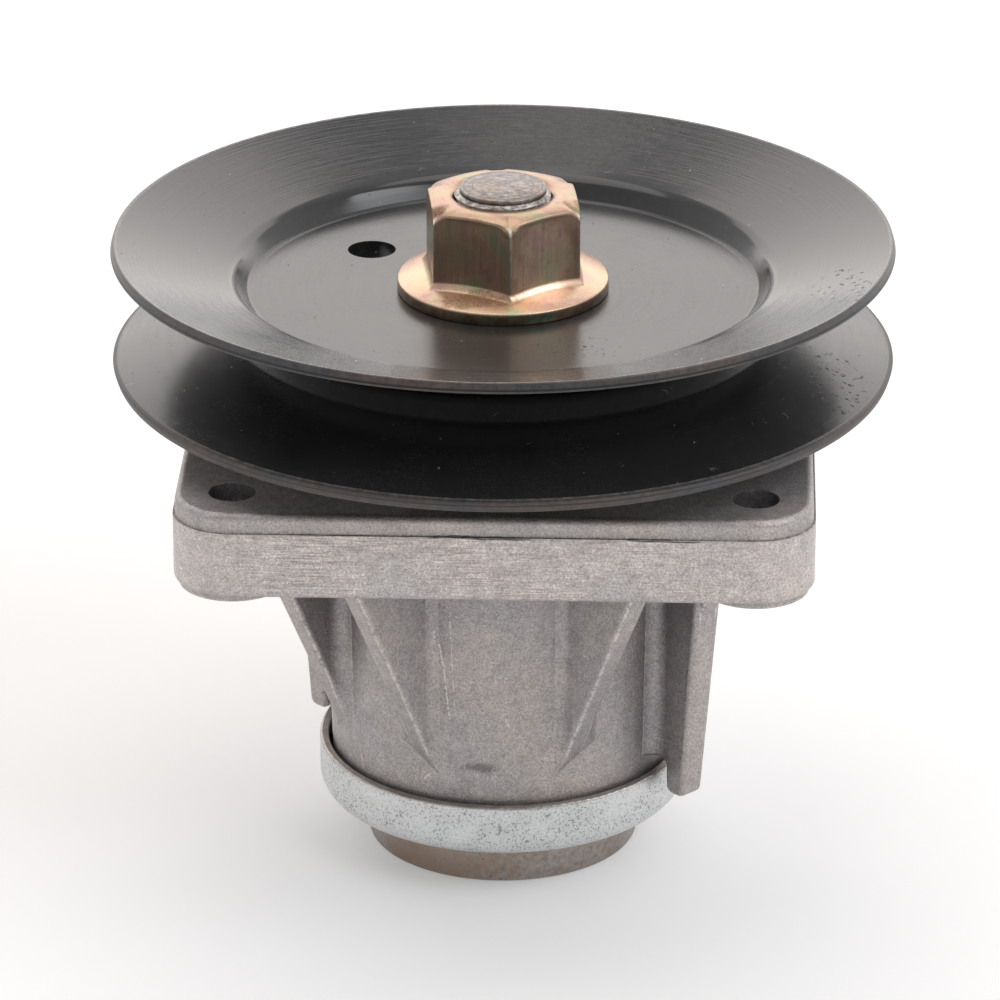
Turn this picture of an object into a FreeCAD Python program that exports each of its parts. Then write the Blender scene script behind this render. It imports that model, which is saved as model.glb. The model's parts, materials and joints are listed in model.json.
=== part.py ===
# Mower deck spindle: a cast housing with two sealed ball bearings, a one-piece shaft with a blade hub,
# a dust cup, a pulley of two pressed halves and a flange nut. Sizes are in millimetres, +Z is up.
# The origin is on the shaft's axis at the blade face, and X and Y run along the flange's edges.
import FreeCAD, Part
import math
import os

Vector = FreeCAD.Vector
AXIS = Vector(0, 0, 1)
INCH = 25.4

# Fits
slide_clearance = 0.02
running_clearance = 0.05
thread_clearance = 0.06
fuse_overlap = 1.0

# Shaft and blade hub
hub_diameter = 44.8
hub_height = 8.0
hub_edge_chamfer = 0.4
hub_boss_diameter = 26.0
hub_boss_height = 2.0
pulley_seat_diameter = 17.5
pulley_seat_flats = 15.0
thread_diameter = 0.625 * INCH
thread_end_chamfer = 0.66
thread_stand_out = 1.2
blade_hole_diameter = 8.5
blade_hole_depth = 30.0
blade_hole_chamfer = 0.8
blade_hole_tip_slope = 31.0

# Ball bearings
bearing_bore = 20.0
bearing_outside = 47.0
bearing_width = 14.0
bearing_edge_chamfer = 0.8
ball_diameter = 0.3125 * INCH
ball_count = 8
race_ratio = 0.52
land_gap = 5.7
seal_thickness = 1.0
seal_recess = 0.4
seal_seat_depth = 1.0
cage_sheet = 0.8
cage_width = 4.0
pocket_clearance = 0.1
rivet_diameter = 1.3
rivet_head_diameter = 2.2
rivet_head_height = 0.5

# Tubes between the bearings and the pulley
spacer_length = 36.8
spacer_diameter = 26.0
sleeve_length = 16.65
sleeve_diameter = 28.0
tube_edge_chamfer = 0.6

# Dust cup
cup_body_gap = 0.54
cup_depth = 9.4
cup_sheet = 1.5
cup_bend_radius = 2.0
cup_boss_slope_width = 2.4
cup_rim_radius = 0.4

# Housing flange
flange_width = 4.0 * INCH
flange_thickness = 14.1
flange_upper_band = 3.2
flange_band_setback = 0.35
flange_top_edge = 1.2
flange_bottom_edge = 0.8
bolt_spacing = 3.25 * INCH
bolt_hole_diameter = 7.6
bolt_pad_inset = 0.9
bolt_pad_height = 1.0

# Housing body
body_foot_diameter = 56.8
body_draft = 1.55
body_foot_chamfer = 1.0
body_flange_fillet = 4.0
bearing_shoulder = 3.0
upper_bearing_recess = 1.2

# Ribs and fins, in pairs beside each diagonal of the flange
rib_offset = 10.0
rib_thickness = 3.1
rib_draft = 0.75
rib_root_radius = 2.5
rib_toe_height = 12.5
rib_reach = 45.5
rib_flange_radius = 4.0
rib_edge_radius = 0.9
smooth_edge_angle = 5.0
fin_thickness = 4.6
fin_cup_clearance = 1.2
fin_tip_width = 4.0
fin_tip_radius = 1.4
fin_tip_below_rim = 3.4
fin_notch_above_rim = 2.6
fin_taper = 0.097

# Pulley
pulley_diameter = 5.0 * INCH
pulley_sheet = 1.8
groove_angle = 34.0
pulley_floor_diameter = 83.6
pulley_step_width = 2.6
pulley_step_height = 3.3
pulley_bend_radius = 1.2
pulley_rim_radius = 0.35
web_hole_diameter = 7.9
web_hole_circle = 55.2
web_hole_angle = 143.6

# Flange nut
nut_across_flats = 0.9375 * INCH
nut_height = 16.4
nut_flange_diameter = 34.3
nut_flange_edge = 2.0
nut_flange_slope = 24.0
nut_top_diameter = 20.6
nut_top_slope = 30.0
nut_countersink_diameter = 17.0
nut_corner_angle = -83.0

# Radii and heights that follow from the sizes above
journal_radius = bearing_bore / 2 - slide_clearance
pitch_radius = (bearing_bore + bearing_outside) / 4
ball_radius = ball_diameter / 2
inner_land = pitch_radius - land_gap / 2
outer_land = pitch_radius + land_gap / 2
seal_seat_radius = outer_land + seal_seat_depth
pulley_seat_radius = pulley_seat_diameter / 2
thread_radius = thread_diameter / 2

cup_seat_z = hub_height + hub_boss_height
lower_bearing_z = cup_seat_z + cup_sheet
spacer_z = lower_bearing_z + bearing_width
upper_bearing_z = spacer_z + spacer_length
sleeve_z = upper_bearing_z + bearing_width
pulley_z = sleeve_z + sleeve_length
groove_z = pulley_z + pulley_sheet
nut_z = groove_z + pulley_sheet
nut_top_z = nut_z + nut_height
shaft_top_z = nut_top_z + thread_stand_out
cup_rim_z = hub_height + cup_depth
flange_top_z = sleeve_z + upper_bearing_recess
flange_z = flange_top_z - flange_thickness


def body_radius(z):
    """Outer radius of the drafted housing body at a height."""
    return body_foot_diameter / 2 + (z - lower_bearing_z) * math.tan(math.radians(body_draft))


# The dust cup's wall runs round the body's foot
cup_radius = body_radius(cup_rim_z) + cup_body_gap + cup_sheet


def outline(corners):
    """Closed wire in the XZ plane through (x, z, radius) corners, each rounded by its own radius."""
    points = [Vector(x, 0, z) for x, z, radius in corners]
    bends = []
    for i, corner in enumerate(points):
        radius = corners[i][2]
        back = (points[i - 1] - corner).normalize()
        ahead = (points[(i + 1) % len(points)] - corner).normalize()
        if radius == 0:
            bends.append((corner, None, corner))
            continue
        half_angle = back.getAngle(ahead) / 2
        reach = radius / math.tan(half_angle)
        inward = (back + ahead).normalize()
        arc_middle = corner + inward * (radius / math.sin(half_angle) - radius)
        bends.append((corner + back * reach, arc_middle, corner + ahead * reach))
    edges = []
    for i, (start, middle, end) in enumerate(bends):
        if middle:
            edges.append(Part.Arc(start, middle, end).toShape())
        following = bends[(i + 1) % len(bends)][0]
        if not end.isEqual(following, 1e-6):
            edges.append(Part.LineSegment(end, following).toShape())
    return Part.Wire(edges)


def turned(corners):
    """Solid of revolution about the shaft's axis from (radius, z, rounding) corners."""
    return Part.Face(outline(corners)).revolve(Vector(0, 0, 0), AXIS, 360)


def ring(inner_radius, outer_radius, z, length):
    """Square-edged ring."""
    top = z + length
    return turned([(inner_radius, z, 0), (outer_radius, z, 0), (outer_radius, top, 0), (inner_radius, top, 0)])


def tube(inner_radius, outer_radius, z, length, chamfer):
    """Sleeve with both outer edges chamfered."""
    top = z + length
    return turned([(inner_radius, z, 0), (outer_radius - chamfer, z, 0), (outer_radius, z + chamfer, 0),
                   (outer_radius, top - chamfer, 0), (outer_radius - chamfer, top, 0), (inner_radius, top, 0)])


def cylinder(radius, z, length, x=0.0, y=0.0):
    return Part.makeCylinder(radius, length, Vector(x, y, z), AXIS)


def around(shape, count, first_angle=0.0):
    """Copies of a shape, evenly spaced round the shaft's axis."""
    copies = []
    for i in range(count):
        copy = shape.copy()
        copy.rotate(Vector(0, 0, 0), AXIS, first_angle + 360 / count * i)
        copies.append(copy)
    return copies


def sheet_section(path, sheet, bend_radius, end_radius):
    """Corners of a bent sheet's section from its mid-line (r, z) points, with one inner bend radius."""
    points = [Vector(r, 0, z) for r, z in path]
    runs = [(points[i + 1] - points[i]).normalize() for i in range(len(points) - 1)]
    left_side = []
    right_side = []
    for i, point in enumerate(points):
        before = runs[max(i - 1, 0)]
        after = runs[min(i, len(runs) - 1)]
        left_before = Vector(-before.z, 0, before.x)
        left_after = Vector(-after.z, 0, after.x)
        shift = (left_before + left_after) * (sheet / 2 / (1 + left_before.dot(left_after)))
        turn = before.x * after.z - before.z * after.x
        if i in (0, len(points) - 1):
            left_radius = right_radius = end_radius
        elif turn > 0:
            left_radius, right_radius = bend_radius, bend_radius + sheet
        else:
            left_radius, right_radius = bend_radius + sheet, bend_radius
        left_side.append((point.x + shift.x, point.z + shift.z, left_radius))
        right_side.append((point.x - shift.x, point.z - shift.z, right_radius))
    return left_side + right_side[::-1]


def double_d(radius, across_flats, z, length):
    """Round bar with two flats that face along Y."""
    bar = cylinder(radius, z, length)
    return bar.common(Part.makeBox(2 * radius, across_flats, length, Vector(-radius, -across_flats / 2, z)))


def spindle_shaft():
    """Shaft turned in one piece with its blade hub: journal, pulley seat with two flats, and thread."""
    hub = hub_diameter / 2
    boss = hub_boss_diameter / 2
    seat_z = pulley_z - pulley_sheet
    shaft = turned([(0, 0, 0), (hub - hub_edge_chamfer, 0, 0), (hub, hub_edge_chamfer, 0),
                    (hub, hub_height - hub_edge_chamfer, 0), (hub - hub_edge_chamfer, hub_height, 0),
                    (boss, hub_height, 0), (boss, cup_seat_z, 0),
                    (journal_radius, cup_seat_z, 0), (journal_radius, seat_z, 0), (0, seat_z, 0)])
    seat = double_d(pulley_seat_radius, pulley_seat_flats, seat_z, nut_z - seat_z)
    stud = turned([(0, seat_z, 0), (thread_radius - thread_end_chamfer, seat_z, 0),
                   (thread_radius - thread_end_chamfer, nut_z, 0),
                   (thread_radius, nut_z + thread_end_chamfer, 0),
                   (thread_radius, shaft_top_z - thread_end_chamfer, 0),
                   (thread_radius - thread_end_chamfer, shaft_top_z, 0), (0, shaft_top_z, 0)])
    hole = blade_hole_diameter / 2
    tip_z = blade_hole_depth + hole * math.tan(math.radians(blade_hole_tip_slope))
    blade_hole = turned([(0, 0, 0), (hole + blade_hole_chamfer, 0, 0), (hole, blade_hole_chamfer, 0),
                         (hole, blade_hole_depth, 0), (0, tip_z, 0)])
    return shaft.fuse([seat, stud]).removeSplitter().cut(blade_hole)


def dust_cup():
    """Pressed cup whose raised centre is clamped between the hub's boss and the lower inner ring."""
    half_sheet = cup_sheet / 2
    floor_z = hub_height + half_sheet
    boss_edge = hub_boss_diameter / 2 + cup_sheet
    wall = cup_radius - half_sheet
    path = [(bearing_bore / 2, floor_z + hub_boss_height), (boss_edge, floor_z + hub_boss_height),
            (boss_edge + cup_boss_slope_width, floor_z), (wall, floor_z), (wall, cup_rim_z)]
    return turned(sheet_section(path, cup_sheet, cup_bend_radius, cup_rim_radius))


def race(centre_radius, z):
    """Ring of round section that cuts a ball groove."""
    groove = race_ratio * ball_diameter
    return Part.makeTorus(centre_radius, groove, Vector(0, 0, z), AXIS)


def outer_ring(z):
    half = bearing_width / 2
    chamfer = bearing_edge_chamfer
    outside = bearing_outside / 2
    seat_depth = seal_recess + seal_thickness
    blank = turned([(seal_seat_radius, -half, 0), (outside - chamfer, -half, 0), (outside, chamfer - half, 0),
                   (outside, half - chamfer, 0), (outside - chamfer, half, 0), (seal_seat_radius, half, 0),
                   (seal_seat_radius, half - seat_depth, 0), (outer_land, half - seat_depth, 0),
                   (outer_land, seat_depth - half, 0), (seal_seat_radius, seat_depth - half, 0)])
    groove_centre = pitch_radius + ball_radius + running_clearance - race_ratio * ball_diameter
    grooved = blank.cut(race(groove_centre, 0))
    grooved.translate(Vector(0, 0, z + half))
    return grooved


def inner_ring(z):
    half = bearing_width / 2
    chamfer = bearing_edge_chamfer
    bore = bearing_bore / 2
    blank = turned([(bore + chamfer, -half, 0), (inner_land, -half, 0), (inner_land, half, 0),
                   (bore + chamfer, half, 0), (bore, half - chamfer, 0), (bore, chamfer - half, 0)])
    groove_centre = pitch_radius - ball_radius - running_clearance + race_ratio * ball_diameter
    grooved = blank.cut(race(groove_centre, 0))
    grooved.translate(Vector(0, 0, z + half))
    return grooved


def ball_set(z):
    ball = Part.makeSphere(ball_radius, Vector(pitch_radius, 0, z + bearing_width / 2))
    return Part.makeCompound(around(ball, ball_count))


def cage_half(z, side):
    """Pressed ribbon with a pocket over each ball and a riveted flat between the pockets."""
    pocket = ball_radius + pocket_clearance
    tall = pocket + cage_sheet
    inside = pitch_radius - cage_width / 2
    outside = pitch_radius + cage_width / 2
    ribbon = ring(inside, outside, 0, tall)
    flat = ring(inside, outside, 0, cage_sheet)
    dome = Part.makeSphere(tall, Vector(pitch_radius, 0, 0))
    hollow = Part.makeSphere(pocket, Vector(pitch_radius, 0, 0))
    hole = cylinder(rivet_diameter / 2 + slide_clearance, -cage_sheet, 3 * cage_sheet, pitch_radius)
    domes = Part.makeCompound(around(dome, ball_count)).common(ribbon)
    half = flat.fuse(domes.Solids).removeSplitter()
    half = half.cut(around(hollow, ball_count) + around(hole, ball_count, 180 / ball_count))
    if side == "lower":
        half.rotate(Vector(0, 0, 0), Vector(1, 0, 0), 180)
    half.translate(Vector(0, 0, z + bearing_width / 2))
    return half


def cage_rivets(z):
    middle = z + bearing_width / 2
    shank = cylinder(rivet_diameter / 2, middle - cage_sheet, 2 * cage_sheet, pitch_radius)
    upper_head = cylinder(rivet_head_diameter / 2, middle + cage_sheet, rivet_head_height, pitch_radius)
    lower_head = cylinder(rivet_head_diameter / 2, middle - cage_sheet - rivet_head_height,
                          rivet_head_height, pitch_radius)
    rivet = shank.fuse([upper_head, lower_head]).removeSplitter()
    return Part.makeCompound(around(rivet, ball_count, 180 / ball_count))


def seal(z):
    """Flat sealing ring that sits in the outer ring's step and runs just clear of the inner ring."""
    return ring(inner_land + running_clearance, seal_seat_radius - slide_clearance, z, seal_thickness)


def flange():
    """Square flange with corners round the bolt holes, a set-back upper band and pads under the holes."""
    corner = (flange_width - bolt_spacing) / 2

    def plate(setback, z, thickness, edge_z, edge_radius):
        size = flange_width - 2 * setback
        block = Part.makeBox(size, size, thickness, Vector(-size / 2, -size / 2, z))
        uprights = [e for e in block.Edges if abs(e.tangentAt(e.FirstParameter).z) > 0.5]
        block = block.makeFillet(corner - setback, uprights)
        rim = []
        for edge in block.Edges:
            if max(abs(edge.BoundBox.ZMin - edge_z), abs(edge.BoundBox.ZMax - edge_z)) < 1e-6:
                rim.append(edge)
        return block.makeFillet(edge_radius, rim)

    band_z = flange_top_z - flange_upper_band
    lower = plate(0, flange_z, flange_thickness - flange_upper_band, flange_z, flange_bottom_edge)
    upper = plate(flange_band_setback, band_z, flange_upper_band, flange_top_z, flange_top_edge)
    pad = cylinder(corner - bolt_pad_inset, flange_z - bolt_pad_height, bolt_pad_height + fuse_overlap,
                   bolt_spacing / 2, bolt_spacing / 2)
    return lower.fuse([upper] + around(pad, 4))


def rib_width(foot_thickness, z):
    """Thickness of a drafted rib at a height."""
    return foot_thickness + 2 * (z - lower_bearing_z) * math.tan(math.radians(rib_draft))


def rib_plan(foot_thickness, z):
    """Plan outline of one rib beside the +X direction, flared into the round body at its root."""
    root_r = body_radius(z)
    thickness = rib_width(foot_thickness, z)
    sides = []
    for side in (1, -1):
        edge = rib_offset + side * thickness / 2
        centre_y = edge + side * rib_root_radius
        centre = Vector(math.sqrt((root_r + rib_root_radius) ** 2 - centre_y ** 2), centre_y, 0)
        on_edge = Vector(centre.x, edge, 0)
        on_body = centre * (root_r / (root_r + rib_root_radius))
        middle = centre + ((on_edge - centre) + (on_body - centre)).normalize() * rib_root_radius
        tip = Vector(rib_reach + 2 * rib_flange_radius, edge, 0)
        inside = on_body * ((root_r - bearing_shoulder) / root_r)
        sides.append((inside, on_body, middle, on_edge, tip))
    (in_a, body_a, mid_a, edge_a, tip_a), (in_b, body_b, mid_b, edge_b, tip_b) = sides
    edges = [Part.LineSegment(in_a, body_a), Part.Arc(body_a, mid_a, edge_a),
             Part.LineSegment(edge_a, tip_a), Part.LineSegment(tip_a, tip_b), Part.LineSegment(tip_b, edge_b),
             Part.Arc(edge_b, mid_b, body_b), Part.LineSegment(body_b, in_b), Part.LineSegment(in_b, in_a)]
    plan = Part.Wire([e.toShape() for e in edges])
    plan.translate(Vector(0, 0, z))
    return plan


def is_sharp(shape, edge, point):
    """Whether the two faces beside an edge meet at an angle at a point on it."""
    first, second = [f.normalAt(*f.Surface.parameter(point)) for f in shape.ancestorsOfType(edge, Part.Face)]
    return first.getAngle(second) > math.radians(smooth_edge_angle)


def rib_solid(foot_thickness, profile):
    """Drafted rib of a given side profile (distance from the axis, z, rounding), with rounded free edges."""
    tall = Part.makeLoft([rib_plan(foot_thickness, lower_bearing_z), rib_plan(foot_thickness, flange_top_z)],
                         True, True)
    slab = Part.Face(outline(profile)).extrude(Vector(0, 2 * rib_reach, 0))
    rib = tall.common(slab)
    buried_x = profile[0][0] + rib_edge_radius
    free = []
    for edge in rib.Edges:
        box = edge.BoundBox
        middle = edge.valueAt((edge.FirstParameter + edge.LastParameter) / 2)
        on_side_face = box.YLength < 0.05 * max(box.XLength, box.ZLength)
        if on_side_face and middle.z < flange_z and middle.x > buried_x and is_sharp(rib, edge, middle):
            free.append(edge)
    return rib.makeFillet(rib_edge_radius, free)


def rib_profile():
    """Side view of a slanted rib, from its toe on the body out to the flange."""
    toe_z = lower_bearing_z + rib_toe_height
    toe = math.sqrt(body_radius(toe_z) ** 2 - rib_offset ** 2)
    slope = (flange_z - toe_z) / (rib_reach - toe)
    inside = toe - bearing_shoulder
    outside = rib_reach + rib_flange_radius
    return [(inside, toe_z - slope * bearing_shoulder, 0), (rib_reach, flange_z, rib_flange_radius),
            (outside, flange_z, 0), (outside, flange_z + fuse_overlap, 0),
            (inside, flange_z + fuse_overlap, 0)]


def fin_profile():
    """Side view of a long fin, which hangs down outside the dust cup's rim."""
    tip_z = cup_rim_z - fin_tip_below_rim
    notch_z = cup_rim_z + fin_notch_above_rim
    near_side = rib_offset - rib_width(fin_thickness, notch_z) / 2
    inner = math.sqrt((cup_radius + fin_cup_clearance) ** 2 - near_side ** 2)
    outer = inner + fin_tip_width
    top = outer + fin_taper * (flange_z - tip_z)
    inside = math.sqrt(body_radius(notch_z) ** 2 - rib_offset ** 2) - bearing_shoulder
    return [(inside, notch_z, 0), (inner, notch_z, fin_tip_radius), (inner, tip_z, fin_tip_radius),
            (outer, tip_z, fin_tip_radius), (top, flange_z, 0), (top, flange_z + fuse_overlap, 0),
            (inside, flange_z + fuse_overlap, 0)]


def spindle_housing():
    """Cast body and flange in one piece, bored from both ends for the bearings."""
    foot = body_radius(lower_bearing_z)
    neck = body_radius(flange_z)
    bore = bearing_outside / 2 + slide_clearance
    through = bearing_outside / 2 - bearing_shoulder
    inside = through - fuse_overlap
    body = turned([(inside, lower_bearing_z, 0), (foot - body_foot_chamfer, lower_bearing_z, 0),
                   (foot, lower_bearing_z + body_foot_chamfer, 0), (neck, flange_z, body_flange_fillet),
                   (neck + 2 * body_flange_fillet, flange_z, 0),
                   (neck + 2 * body_flange_fillet, flange_z + fuse_overlap, 0),
                   (inside, flange_z + fuse_overlap, 0)])
    rib = rib_solid(rib_thickness, rib_profile())
    mirrored = rib.mirror(Vector(0, 0, 0), Vector(0, 1, 0))
    ribs = around(rib, 4, 45) + around(mirrored, 4, 45)
    fins = around(rib_solid(fin_thickness, fin_profile()), 2, -45)
    casting = body.fuse(flange())
    for rib in ribs + fins:
        casting = casting.fuse(rib)
    casting = casting.removeSplitter()
    bolt_hole = cylinder(bolt_hole_diameter / 2, lower_bearing_z, flange_top_z,
                         bolt_spacing / 2, bolt_spacing / 2)
    bores = turned([(0, lower_bearing_z, 0), (bore, lower_bearing_z, 0), (bore, spacer_z, 0),
                    (through, spacer_z, 0), (through, upper_bearing_z, 0), (bore, upper_bearing_z, 0),
                    (bore, flange_top_z, 0), (0, flange_top_z, 0)])
    return casting.cut([bores] + around(bolt_hole, 4))


def pulley_half(side):
    """Pressed disc with a flat web, a stepped shoulder and a cone that forms one side of the groove."""
    rim = pulley_diameter / 2
    floor = pulley_floor_diameter / 2
    shoulder = floor + pulley_step_width
    half_angle = math.radians(groove_angle / 2)
    corner_loss = pulley_rim_radius * (math.sin(half_angle) + math.cos(half_angle) - 1)
    edge = rim - pulley_sheet / 2 * math.sin(half_angle) + corner_loss
    mid_z = pulley_sheet / 2
    path = [(thread_radius - thread_end_chamfer, mid_z), (floor, mid_z), (shoulder, mid_z + pulley_step_height),
            (edge, mid_z + pulley_step_height + (edge - shoulder) * math.tan(half_angle))]
    half = turned(sheet_section(path, pulley_sheet, pulley_bend_radius, pulley_rim_radius))
    if side == "lower":
        half.rotate(Vector(0, 0, 0), Vector(1, 0, 0), 180)
    half.translate(Vector(0, 0, groove_z))
    seat = double_d(pulley_seat_radius + slide_clearance, pulley_seat_flats + 2 * slide_clearance,
                    pulley_z - pulley_sheet, 4 * pulley_sheet)
    angle = math.radians(web_hole_angle)
    web_hole = cylinder(web_hole_diameter / 2, pulley_z - pulley_sheet, 4 * pulley_sheet,
                        web_hole_circle / 2 * math.cos(angle), web_hole_circle / 2 * math.sin(angle))
    return half.cut([seat, web_hole])


def flange_nut():
    """Hexagon nut with a sloped flange, a chamfered crown and a countersunk thread hole."""
    corner = nut_across_flats / 2 / math.cos(math.radians(30))
    angles = [math.radians(nut_corner_angle + 60 * i) for i in range(7)]
    hexagon = Part.makePolygon([Vector(corner * math.cos(a), corner * math.sin(a), nut_z) for a in angles])
    hexagon = Part.Face(hexagon).extrude(AXIS * nut_height)
    crown = nut_top_diameter / 2
    crown_drop = (corner - crown) * math.tan(math.radians(nut_top_slope))
    hexagon = hexagon.common(turned([(0, nut_z, 0), (corner, nut_z, 0), (corner, nut_top_z - crown_drop, 0),
                                     (crown, nut_top_z, 0), (0, nut_top_z, 0)]))
    rim = nut_flange_diameter / 2
    skirt_rise = rim * math.tan(math.radians(nut_flange_slope))
    skirt = turned([(0, nut_z, 0), (rim, nut_z, 0), (rim, nut_z + nut_flange_edge, 0),
                    (0, nut_z + nut_flange_edge + skirt_rise, 0)])
    hole = thread_radius + thread_clearance
    sink = nut_countersink_diameter / 2
    bore = turned([(0, nut_z, 0), (sink, nut_z, 0), (hole, nut_z + sink - hole, 0),
                   (hole, nut_top_z - sink + hole, 0), (sink, nut_top_z, 0), (0, nut_top_z, 0)])
    return hexagon.fuse(skirt).removeSplitter().cut(bore)


parts = {
    "spindle_housing": spindle_housing(),
    "spindle_shaft": spindle_shaft(),
    "dust_cup": dust_cup(),
    "bearing_spacer": tube(bearing_bore / 2, spacer_diameter / 2, spacer_z, spacer_length, tube_edge_chamfer),
    "pulley_sleeve": tube(bearing_bore / 2, sleeve_diameter / 2, sleeve_z, sleeve_length, tube_edge_chamfer),
    "pulley_lower_half": pulley_half("lower"),
    "pulley_upper_half": pulley_half("upper"),
    "flange_nut": flange_nut(),
}
for name, z in (("lower_bearing", lower_bearing_z), ("upper_bearing", upper_bearing_z)):
    parts[name + "_outer_ring"] = outer_ring(z)
    parts[name + "_inner_ring"] = inner_ring(z)
    parts[name + "_balls"] = ball_set(z)
    parts[name + "_cage_upper"] = cage_half(z, "upper")
    parts[name + "_cage_lower"] = cage_half(z, "lower")
    parts[name + "_cage_rivets"] = cage_rivets(z)
    parts[name + "_seal_lower"] = seal(z + seal_recess)
    parts[name + "_seal_upper"] = seal(z + bearing_width - seal_recess - seal_thickness)

os.makedirs("parts", exist_ok=True)
for name, shape in parts.items():
    shape.exportStep("parts/" + name + ".step")
    print(name, "valid" if shape.isValid() else "BROKEN", len(shape.Solids), round(shape.Volume, 1))
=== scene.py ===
import json
import math

import bmesh
import bpy
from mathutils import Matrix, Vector


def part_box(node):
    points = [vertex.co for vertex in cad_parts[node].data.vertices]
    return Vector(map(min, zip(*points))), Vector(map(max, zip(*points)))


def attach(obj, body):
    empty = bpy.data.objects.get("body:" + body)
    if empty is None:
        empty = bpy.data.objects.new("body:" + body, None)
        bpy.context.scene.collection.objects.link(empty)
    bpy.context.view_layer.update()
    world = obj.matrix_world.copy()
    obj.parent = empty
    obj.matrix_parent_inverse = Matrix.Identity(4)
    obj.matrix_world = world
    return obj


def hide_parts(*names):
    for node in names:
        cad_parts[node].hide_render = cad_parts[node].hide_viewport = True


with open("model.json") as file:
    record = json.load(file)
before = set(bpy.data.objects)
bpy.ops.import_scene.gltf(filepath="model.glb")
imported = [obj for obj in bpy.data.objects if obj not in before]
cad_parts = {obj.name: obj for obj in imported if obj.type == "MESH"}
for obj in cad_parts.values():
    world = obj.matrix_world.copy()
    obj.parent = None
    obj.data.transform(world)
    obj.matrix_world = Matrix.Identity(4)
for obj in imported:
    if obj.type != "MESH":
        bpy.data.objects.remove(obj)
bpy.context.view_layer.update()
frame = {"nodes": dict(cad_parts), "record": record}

# Looks of a mower deck spindle: cast housing, black pulley, gold flange nut, steel shaft and zinc dust cup.
# Lengths are in metres, as in the frame, and MM turns millimetres into them.
# The finishes and profiles work in millimetres, and the scale of a noise is in waves per millimetre.
MM = 0.001
FULL_TURN = 2 * math.pi
nodes = frame["nodes"]

# Camera of the photograph, fitted to the object's outline
PHOTO_TARGET = Vector((0, 0, 59.051 * MM))
PHOTO_DISTANCE = 1042.586 * MM
PHOTO_AZIMUTH = math.radians(2.0)
PHOTO_ELEVATION = math.radians(23.295)
PHOTO_LENS = 227.854
PHOTO_SHIFT = (-0.003, -0.00056)

# Studio: the floor, the surround and the soft panels (place, aim, size, brightness and colour)
FLOOR_SIZE = 8.0
FLOOR_HEIGHT = -0.1 * MM
FLOOR_COLOUR = (0.86, 0.86, 0.86, 1)
FLOOR_GLOW = 0.25
FLOOR_FADE = 0.6
SKY_FILL = 0.62
FRONT_DIM = 0.42
FRONT_RANGE = (-0.8, 0.1)
UPPER_DIM = 0.78
UPPER_RANGE = (0.45, 0.7)
WHITE = (1, 1, 1, 1)
WARM = (1.0, 0.925, 0.88)
COOL = (0.93, 0.955, 1.0)
PANELS = {
    "back_panel": ((0, 1.3, 0.72), (0, 0, 0.1), (2.6, 0.98), 1.28, WARM),
    "top_panel": ((-0.15, 0.15, 1.5), (0, 0, 0.05), (1.3, 1.3), 1.3, WARM),
    "right_panel": ((0.92, -0.6, 1.17), (0, 0, 0.08), (1.15, 0.5), 3.9, COOL),
}


def node_heights(node):
    """Lowest and highest height of a node, and its widest radius, in millimetres."""
    low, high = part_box(node)
    return low.z / MM, high.z / MM, high.x / MM


# Helpers for node trees; a socket's id_data is the tree that it belongs to
def connect(socket, value):
    """Sets a socket to a value, or links it from another socket."""
    if isinstance(value, bpy.types.NodeSocket):
        socket.id_data.links.new(value, socket)
    else:
        socket.default_value = value


def tree_of(*values):
    """Tree of the first socket among some values."""
    return next(value.id_data for value in values if isinstance(value, bpy.types.NodeSocket))


def add(tree, kind, inputs=None, **settings):
    """One node of a tree: its settings, and its inputs as values or as sockets to link from."""
    node = tree.nodes.new(kind)
    for name, value in settings.items():
        setattr(node, name, value)
    for key, value in (inputs or {}).items():
        connect(node.inputs[key], value)
    return node


def feed(node, **sockets):
    """Sets or links a node's sockets, given with underscores for spaces."""
    for name, value in sockets.items():
        connect(node.inputs[name.replace("_", " ")], value)


def calc(operation, first, second=0.0, third=0.0, clamp=False):
    """Output of a math node."""
    tree = tree_of(first, second, third)
    inputs = {0: first, 1: second, 2: third}
    return add(tree, "ShaderNodeMath", inputs, operation=operation, use_clamp=clamp).outputs[0]


def product(first, *others):
    """Values multiplied by each other."""
    for other in others:
        first = calc("MULTIPLY", first, other)
    return first


def highest(first, *others):
    """Highest of some values."""
    for other in others:
        first = calc("MAXIMUM", first, other)
    return first


def times_plus(value, factor, more, clamp=False):
    """Value times a factor, plus one more value."""
    return calc("MULTIPLY_ADD", value, factor, more, clamp)


def minus(first, second, clamp=False):
    """First value less the second."""
    return calc("SUBTRACT", first, second, clamp=clamp)


def gap(first, second):
    """Distance between two values."""
    return calc("ABSOLUTE", minus(first, second))


def ratio(first, second, clamp=False):
    """First value divided by the second."""
    return calc("DIVIDE", first, second, clamp=clamp)


def vector(operation, first, second=(0, 0, 0), output="Vector"):
    """Output of a vector math node."""
    inputs = {0: first, 1: second}
    return add(first.id_data, "ShaderNodeVectorMath", inputs, operation=operation).outputs[output]


def combined(x, y, z=0.0):
    """Vector of three values."""
    return add(x.id_data, "ShaderNodeCombineXYZ", {0: x, 1: y, 2: z}).outputs[0]


def separated(place):
    """Three values of a vector."""
    return add(place.id_data, "ShaderNodeSeparateXYZ", {0: place}).outputs


def spread(value, low, high, to_low=0.0, to_high=1.0):
    """Value mapped from one range to another and kept inside it."""
    inputs = {"Value": value, "From Min": low, "From Max": high, "To Min": to_low, "To Max": to_high}
    return add(value.id_data, "ShaderNodeMapRange", inputs).outputs[0]


def noise(place, scale, detail=3.0, roughness=0.55, distortion=0.0):
    """Soft random value over a place."""
    inputs = {"Vector": place, "Scale": scale, "Detail": detail, "Roughness": roughness,
              "Distortion": distortion}
    return add(place.id_data, "ShaderNodeTexNoise", inputs).outputs[0]


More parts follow.
